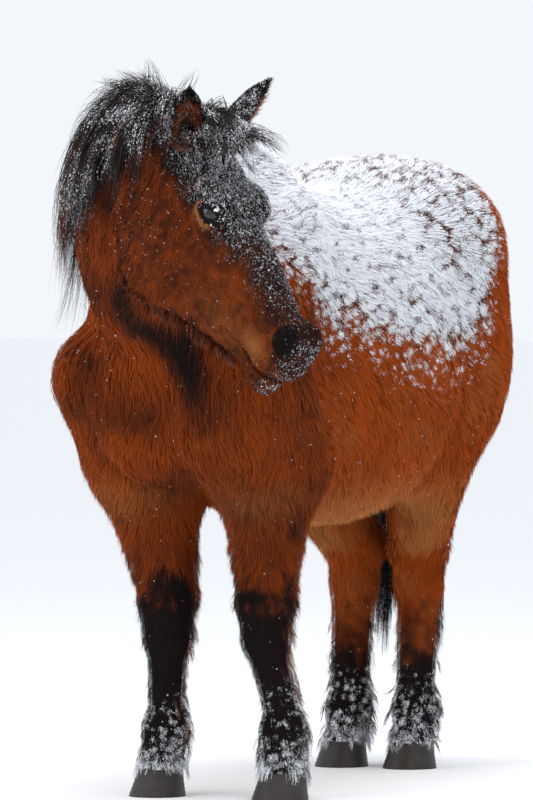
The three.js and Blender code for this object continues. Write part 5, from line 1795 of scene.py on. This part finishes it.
class HorseLook(bpy.types.PropertyGroup):
    """The coat's colours."""

    coat: colour_setting("Coat", "Red-brown of the body", (0.295, 0.052, 0.0068))
    # This black also paints the shade under the jaw, down the throat and between snowy locks
    black: colour_setting("Black hair", "Legs, mane, tail and points", (0.0125, 0.0085, 0.0085))
    tan: colour_setting("Tan hair", "Belly fringe and muzzle", (0.36, 0.145, 0.045))
    snow: colour_setting("Snow", "Snow in the coat", (0.82, 0.84, 0.88))


FLESH_NODES = ["head", "neck", "torso", "ear_left", "ear_right"]
FLESH_NODES += [f"{name}_{half}" for name in LEGS for half in ("upper", "lower")]
DARK_NOSTRIL = np.array([535, 46, 58])  # the middle of the dark skin in the nostril


def skin_values(points, kind):
    """The markings of the skin, which shows between the hairs, with painted shade under the snow."""
    share = shares(parts_of(points))
    values = marked(points, slope(skin, points), share)
    left = to_head(points)[:, 1] > 0
    for name in EAR_POSE:
        sided = (kind == EAR_KIND) & (left == (name == "left"))
        local = to_ear(name, points[sided])
        for key, value in ear_marks(local, slope(ear_shape, local, 0.6)).items():
            values[key][sided] = value
    nostril = np.linalg.norm(np.abs(face_place(points)) - DARK_NOSTRIL, axis=1)
    snow = values["snow"] * (0.35 + 0.5 * share["head"])
    # Painted shade on the skin in the gaps under the snowy locks
    snow_gap_shade = 0.55 * ramp(snow, 0.05, 0.3) * (1 - share["head"])
    dark = [values["black"], kind == LID_KIND, ramp(-nostril, -34, -24), snow_gap_shade]
    values["black"] = np.maximum.reduce([np.asarray(d, float) for d in dark])
    values["snow"] = snow
    values["tint"] = 0.25 + 0.2 * noise(points, 8, 21)
    values["along"] = np.full(len(points), 0.15)
    return values


class HORSE_OT_skin(bpy.types.Operator):
    """Adds one skin over head, neck, trunk, legs and ears"""

    bl_idname = "horse.skin"
    bl_label = "Skin"

    def execute(self, context):
        points, faces, kind = skin_surface()
        obj = new_mesh("skin", points, faces, **skin_values(points, kind))
        finish_piece(obj, "coat", "skin", *FLESH_NODES)
        store["uv"] = unwrapped(obj)
        return {"FINISHED"}


class HORSE_OT_coat(bpy.types.Operator):
    """Adds the winter coat as tufts over the body, face and ears"""

    bl_idname = "horse.coat"
    bl_label = "Winter coat"

    def execute(self, context):
        sizes = context.scene.horse_sizes
        rng = np.random.default_rng(COAT["seed"])
        number = int(COAT["bands"] * COAT["per_band"] * sizes.density * (1))
        place, spot = roots_on(*faces_of(FLESH_KIND), tuft_weight, number, rng)
        order = np.argsort(place[:, 1])
        for i, band in enumerate(np.array_split(order, COAT["bands"])):
            tufts = body_tufts(place[band], spot[band], rng, sizes.coat_length)
            finish_piece(hair_mesh(f"coat_{i + 1}", *tufts), "coat", "coat")
        number = int(COAT["face"] * sizes.density)
        place, spot = roots_on(*faces_of(FLESH_KIND), face_weight, number, rng)
        tufts = body_tufts(place, spot, rng, sizes.coat_length)
        finish_piece(hair_mesh("coat_face", *tufts), "coat", "face")
        for name in EAR_POSE:
            place, spot = roots_on(*ear_faces(name), lambda middle: 1.0, EAR_FUR["count"], rng)
            tufts = ear_tufts(name, place, spot, rng)
            finish_piece(hair_mesh(f"coat_ear_{name}", *tufts), "coat", "face")
        return {"FINISHED"}


@lru_cache(maxsize=1)
def skin_tree():
    """The middles of every third face of the skin, for a quick search, and their places on the map."""
    points, faces, _ = skin_surface()
    middle = points[faces[::3]].mean(axis=1)
    tree = KDTree(len(middle))
    for i, p in enumerate(middle):
        tree.insert(p, i)
    tree.balance()
    return tree, store["uv"][::3].mean(axis=1)


def nearest_uv(roots):
    """The place on the skin's map of the nearest skin to each root."""
    tree, uv = skin_tree()
    return uv[[tree.find(p)[1] for p in roots]]


def long_hair(name, hair, slot, *replaced):
    """A piece of long hair from its paths, widths, markings and random numbers."""
    path, width, values, rng = hair
    out = slope(flesh, path[:, path.shape[1] // 2], 3.0)
    side = strand_sides(path, out, rng)
    obj = hair_mesh(name, path, side, width, values, nearest_uv(path[:, 0]), out)
    return finish_piece(obj, slot, "long", *replaced)


class HORSE_OT_long_hair(bpy.types.Operator):
    """Adds mane, forelock, tail, feather and the hair of the jaw as tapered strands in locks"""

    bl_idname = "horse.long_hair"
    bl_label = "Mane, tail and feather"

    def execute(self, context):
        long_hair("mane_hair", mane_strands(), "hair", "mane")
        long_hair("forelock_hair", forelock_strands(), "hair", "forelock")
        long_hair("crown_hair", crown_strands(), "hair")
        long_hair("tail_hair", tail_strands(), "hair", "tail")
        long_hair("feather_hair", feather_strands(), "points")
        long_hair("jaw_hair", beard_strands(), "coat")
        return {"FINISHED"}


class HORSE_OT_snow(bpy.types.Operator):
    """Adds crystals of snow caught in the coat"""

    bl_idname = "horse.snow"
    bl_label = "Snow in the coat"

    def execute(self, context):
        rng = np.random.default_rng(FLAKES["seed"])
        place, _ = roots_on(*faces_of(FLESH_KIND), flake_weight, FLAKES["count"], rng)
        finish_piece(new_mesh("snow_flakes", *snow_flakes(place, rng)), "coat", "flakes")
        return {"FINISHED"}


def settled_object(obj):
    """Applies place, turn and scale, so that the object's own origin is the frame's."""
    select_only(obj)
    bpy.ops.object.transform_apply(location=True, rotation=True, scale=True)


# The ball of the eye: angles from its front in degrees, and the pupil's half sizes for a radius of 1
CORNEA = {"bulge": 0.03, "edge": 40, "top": 10}
IRIS_EDGE = (38, 44)
PUPIL = {"long": 0.36, "tall": 0.15, "edge": (0.9, 1.15)}


def eyeball(sign):
    """Shapes the sphere that was just added to the left eye, or for sign -1 to the right one."""
    mesh = bpy.context.object.data
    co = np.empty(len(mesh.vertices) * 3)
    mesh.vertices.foreach_get("co", co)
    co = co.reshape(-1, 3)
    away = np.degrees(np.arccos(np.clip(co[:, 2], -1, 1)))
    bulge = 1 + CORNEA["bulge"] * ramp(-away, -CORNEA["edge"], -CORNEA["top"])
    local = co * (EYE_BALL["radius"] * bulge)[:, None] - np.array([0, 0, EYE_BALL["sunk"]])
    place = from_head((local @ EYE_AXES + EYE) * (1, sign, 1))
    mesh.vertices.foreach_set("co", in_frame(place).ravel())
    off = np.hypot(co[:, 0] / PUPIL["long"], co[:, 1] / PUPIL["tall"])
    pupil = ramp(-off, -PUPIL["edge"][1], -PUPIL["edge"][0]) * (co[:, 2] > 0)
    keep_values(mesh, {"iris": ramp(-away, -IRIS_EDGE[1], -IRIS_EDGE[0]), "pupil": pupil})
    mesh.update()
    mesh.shade_smooth()
    if sign < 0:
        mesh.flip_normals()
    mesh.uv_layers.active.name = "OFBake"


class HORSE_OT_eyes(bpy.types.Operator):
    """Adds the two eyes, each a ball with a raised cornea, an iris and a long pupil"""

    bl_idname = "horse.eyes"
    bl_label = "Eyes"

    def execute(self, context):
        for name, sign in (("left", 1), ("right", -1)):
            bpy.ops.object.select_all(action="DESELECT")
            bpy.ops.mesh.primitive_uv_sphere_add(segments=64, ring_count=40, radius=1)
            obj = context.object
            obj.name = f"eyeball_{name}"
            eyeball(sign)
            finish_piece(obj, "eye", "eye", f"eye_{name}")
        return {"FINISHED"}


# A hoof in metres: it is cut at the heel, a little longer than wide, slopes and has growth rings
HOOF = {"sole": 0.060, "top": 0.046, "heel": 0.052, "heel_lean": -0.1, "longer": 1.05, "lean": 0.3}
HOOF |= {"levels": 14, "ring_depth": 0.014, "ring_turn": 900, "plain_below": 0.004}


def cut_hoof(height):
    """Cuts the cone that was just added in levels, and straight at the heel."""
    bpy.ops.object.mode_set(mode="EDIT")
    for level in range(1, HOOF["levels"]):
        bpy.ops.mesh.select_all(action="SELECT")
        bpy.ops.mesh.bisect(plane_co=(0, 0, height * level / HOOF["levels"]), plane_no=(0, 0, 1))
    bpy.ops.mesh.select_all(action="SELECT")
    bpy.ops.mesh.bisect(
        plane_co=(0, HOOF["heel"], 0), plane_no=(0, 1, HOOF["heel_lean"]), use_fill=True, clear_outer=True
    )
    bpy.ops.object.mode_set(mode="OBJECT")


class HORSE_OT_hooves(bpy.types.Operator):
    """Adds four hooves of horn with growth rings"""

    bl_idname = "horse.hooves"
    bl_label = "Hooves"

    def execute(self, context):
        height = HOOF_HEIGHT / 1000
        for name, places in LEGS.items():
            bpy.ops.object.select_all(action="DESELECT")
            bpy.ops.mesh.primitive_cone_add(
                vertices=64,
                radius1=HOOF["sole"],
                radius2=HOOF["top"],
                depth=height,
                location=(0, 0, height / 2),
            )
            obj = context.object
            obj.name = f"horn_{hoof_node(name)}"
            settled_object(obj)
            cut_hoof(height)
            for vertex in obj.data.vertices:
                wave = math.sin(vertex.co.z * HOOF["ring_turn"]) * (vertex.co.z > HOOF["plain_below"])
                ring = 1 + HOOF["ring_depth"] * wave
                vertex.co.x *= ring
                vertex.co.y = vertex.co.y * HOOF["longer"] * ring + HOOF["lean"] * vertex.co.z
            obj.data.shade_smooth()
            x, y, _ = places["hoof"]
            obj.location = in_frame((x, y - HOOF_FORWARD, 0))
            settled_object(obj)
            finish_piece(obj, "hoof", "hoof", hoof_node(name))
        return {"FINISHED"}


# The photograph's view: a long lens, low and nearly level, from the horse's front left
VIEW = {"azimuth": 22.0, "distance": 16.0, "height": 1.2, "aside": 0.11, "focal_pixels": 7600.0}
PHOTO = {"height": 800, "horizon": 227}
SENSOR = 36.0
FLOOR = {"size": 120, "colour": (0.95, 0.955, 0.965, 1), "roughness": 0.9, "specular": 0.2}
SKY = {"colour": (0.93, 0.96, 1.0, 1), "strength": 0.97}
LIGHTS = (
    ("top light", (0.5, -1.0, 5.5), 5.0, 200),
    ("left light", (-4.5, -5.0, 3.0), 4.0, 110),
)
LIT = Vector((0, 0, 0.8))  # where the lights are aimed


def add_floor():
    bpy.ops.object.select_all(action="DESELECT")
    bpy.ops.mesh.primitive_plane_add(size=FLOOR["size"])
    floor = bpy.context.object
    floor.name = "floor"
    pale, _, shader = new_material("Pale floor", FLOOR["roughness"], FLOOR["specular"])
    shader.inputs["Base Color"].default_value = FLOOR["colour"]
    floor.data.materials.append(pale)
    floor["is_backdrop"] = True


def add_lights(scene):
    """A pale sky, and two wide soft lamps."""
    world = bpy.data.worlds.new("Studio")
    world.use_nodes = True
    background = world.node_tree.nodes["Background"].inputs
    background["Color"].default_value = SKY["colour"]
    background["Strength"].default_value = SKY["strength"]
    scene.world = world
    scene.view_settings.view_transform = "Standard"
    for name, place, size, power in LIGHTS:
        lamp = bpy.data.lights.new(name, "AREA")
        lamp.size = size
        lamp.energy = power
        obj = bpy.data.objects.new(name, lamp)
        obj.location = place
        obj.rotation_euler = (LIT - Vector(place)).to_track_quat("-Z", "Y").to_euler()
        scene.collection.objects.link(obj)


def add_camera(scene):
    """A camera that looks a little down, so that the horizon lies where the photograph has it."""
    turn = math.radians(VIEW["azimuth"])
    right = np.array([math.cos(turn), math.sin(turn), 0])
    ahead = np.array([-math.sin(turn), math.cos(turn), 0])
    camera = bpy.data.cameras.new("camera")
    camera.sensor_fit = "VERTICAL"
    camera.sensor_height = SENSOR
    camera.lens = VIEW["focal_pixels"] * SENSOR / PHOTO["height"]
    camera.clip_end = 200
    obj = bpy.data.objects.new("camera", camera)
    obj.location = right * VIEW["aside"] - ahead * VIEW["distance"] + np.array([0, 0, VIEW["height"]]) + SHIFT
    drop = math.atan((PHOTO["height"] / 2 - PHOTO["horizon"]) / VIEW["focal_pixels"])
    aim = ahead * math.cos(drop) - np.array([0, 0, math.sin(drop)])
    obj.rotation_euler = Vector(aim).to_track_quat("-Z", "Y").to_euler()
    scene.collection.objects.link(obj)
    scene.camera = obj


class HORSE_OT_stage(bpy.types.Operator):
    """Adds floor, lights and the camera"""

    bl_idname = "horse.stage"
    bl_label = "Stage"

    def execute(self, context):
        add_floor()
        add_lights(context.scene)
        add_camera(context.scene)
        return {"FINISHED"}


class HORSE_PT_panel(bpy.types.Panel):
    """Shows the settings, and a button for each operator"""

    bl_label = "Icelandic Horse"
    bl_idname = "HORSE_PT_panel"
    bl_space_type = "VIEW_3D"
    bl_region_type = "UI"
    bl_category = "Horse"

    def draw(self, context):
        layout = self.layout
        for settings in (context.scene.horse_sizes, context.scene.horse_look):
            for key in settings.bl_rna.properties.keys():
                if key not in ("rna_type", "name"):
                    layout.prop(settings, key)
        for operator in OPERATORS:
            layout.operator(operator.bl_idname)


OPERATORS = (
    HORSE_OT_stage,
    HORSE_OT_skin,
    HORSE_OT_coat,
    HORSE_OT_long_hair,
    HORSE_OT_snow,
    HORSE_OT_eyes,
    HORSE_OT_hooves,
)
CLASSES = (HorseSizes, HorseLook, *OPERATORS, HORSE_PT_panel)


def register():
    for kind in CLASSES:
        bpy.utils.register_class(kind)
    bpy.types.Scene.horse_sizes = bpy.props.PointerProperty(type=HorseSizes)
    bpy.types.Scene.horse_look = bpy.props.PointerProperty(type=HorseLook)


def unregister():
    del bpy.types.Scene.horse_look
    del bpy.types.Scene.horse_sizes
    for kind in reversed(CLASSES):
        bpy.utils.unregister_class(kind)


def main():
    register()
    for operator in OPERATORS:
        group, name = operator.bl_idname.split(".")
        getattr(getattr(bpy.ops, group), name)()
    boxes = [[list(corner) for corner in box] for box in (CAD_BOX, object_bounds())]


if __name__ == "__main__":
    main()
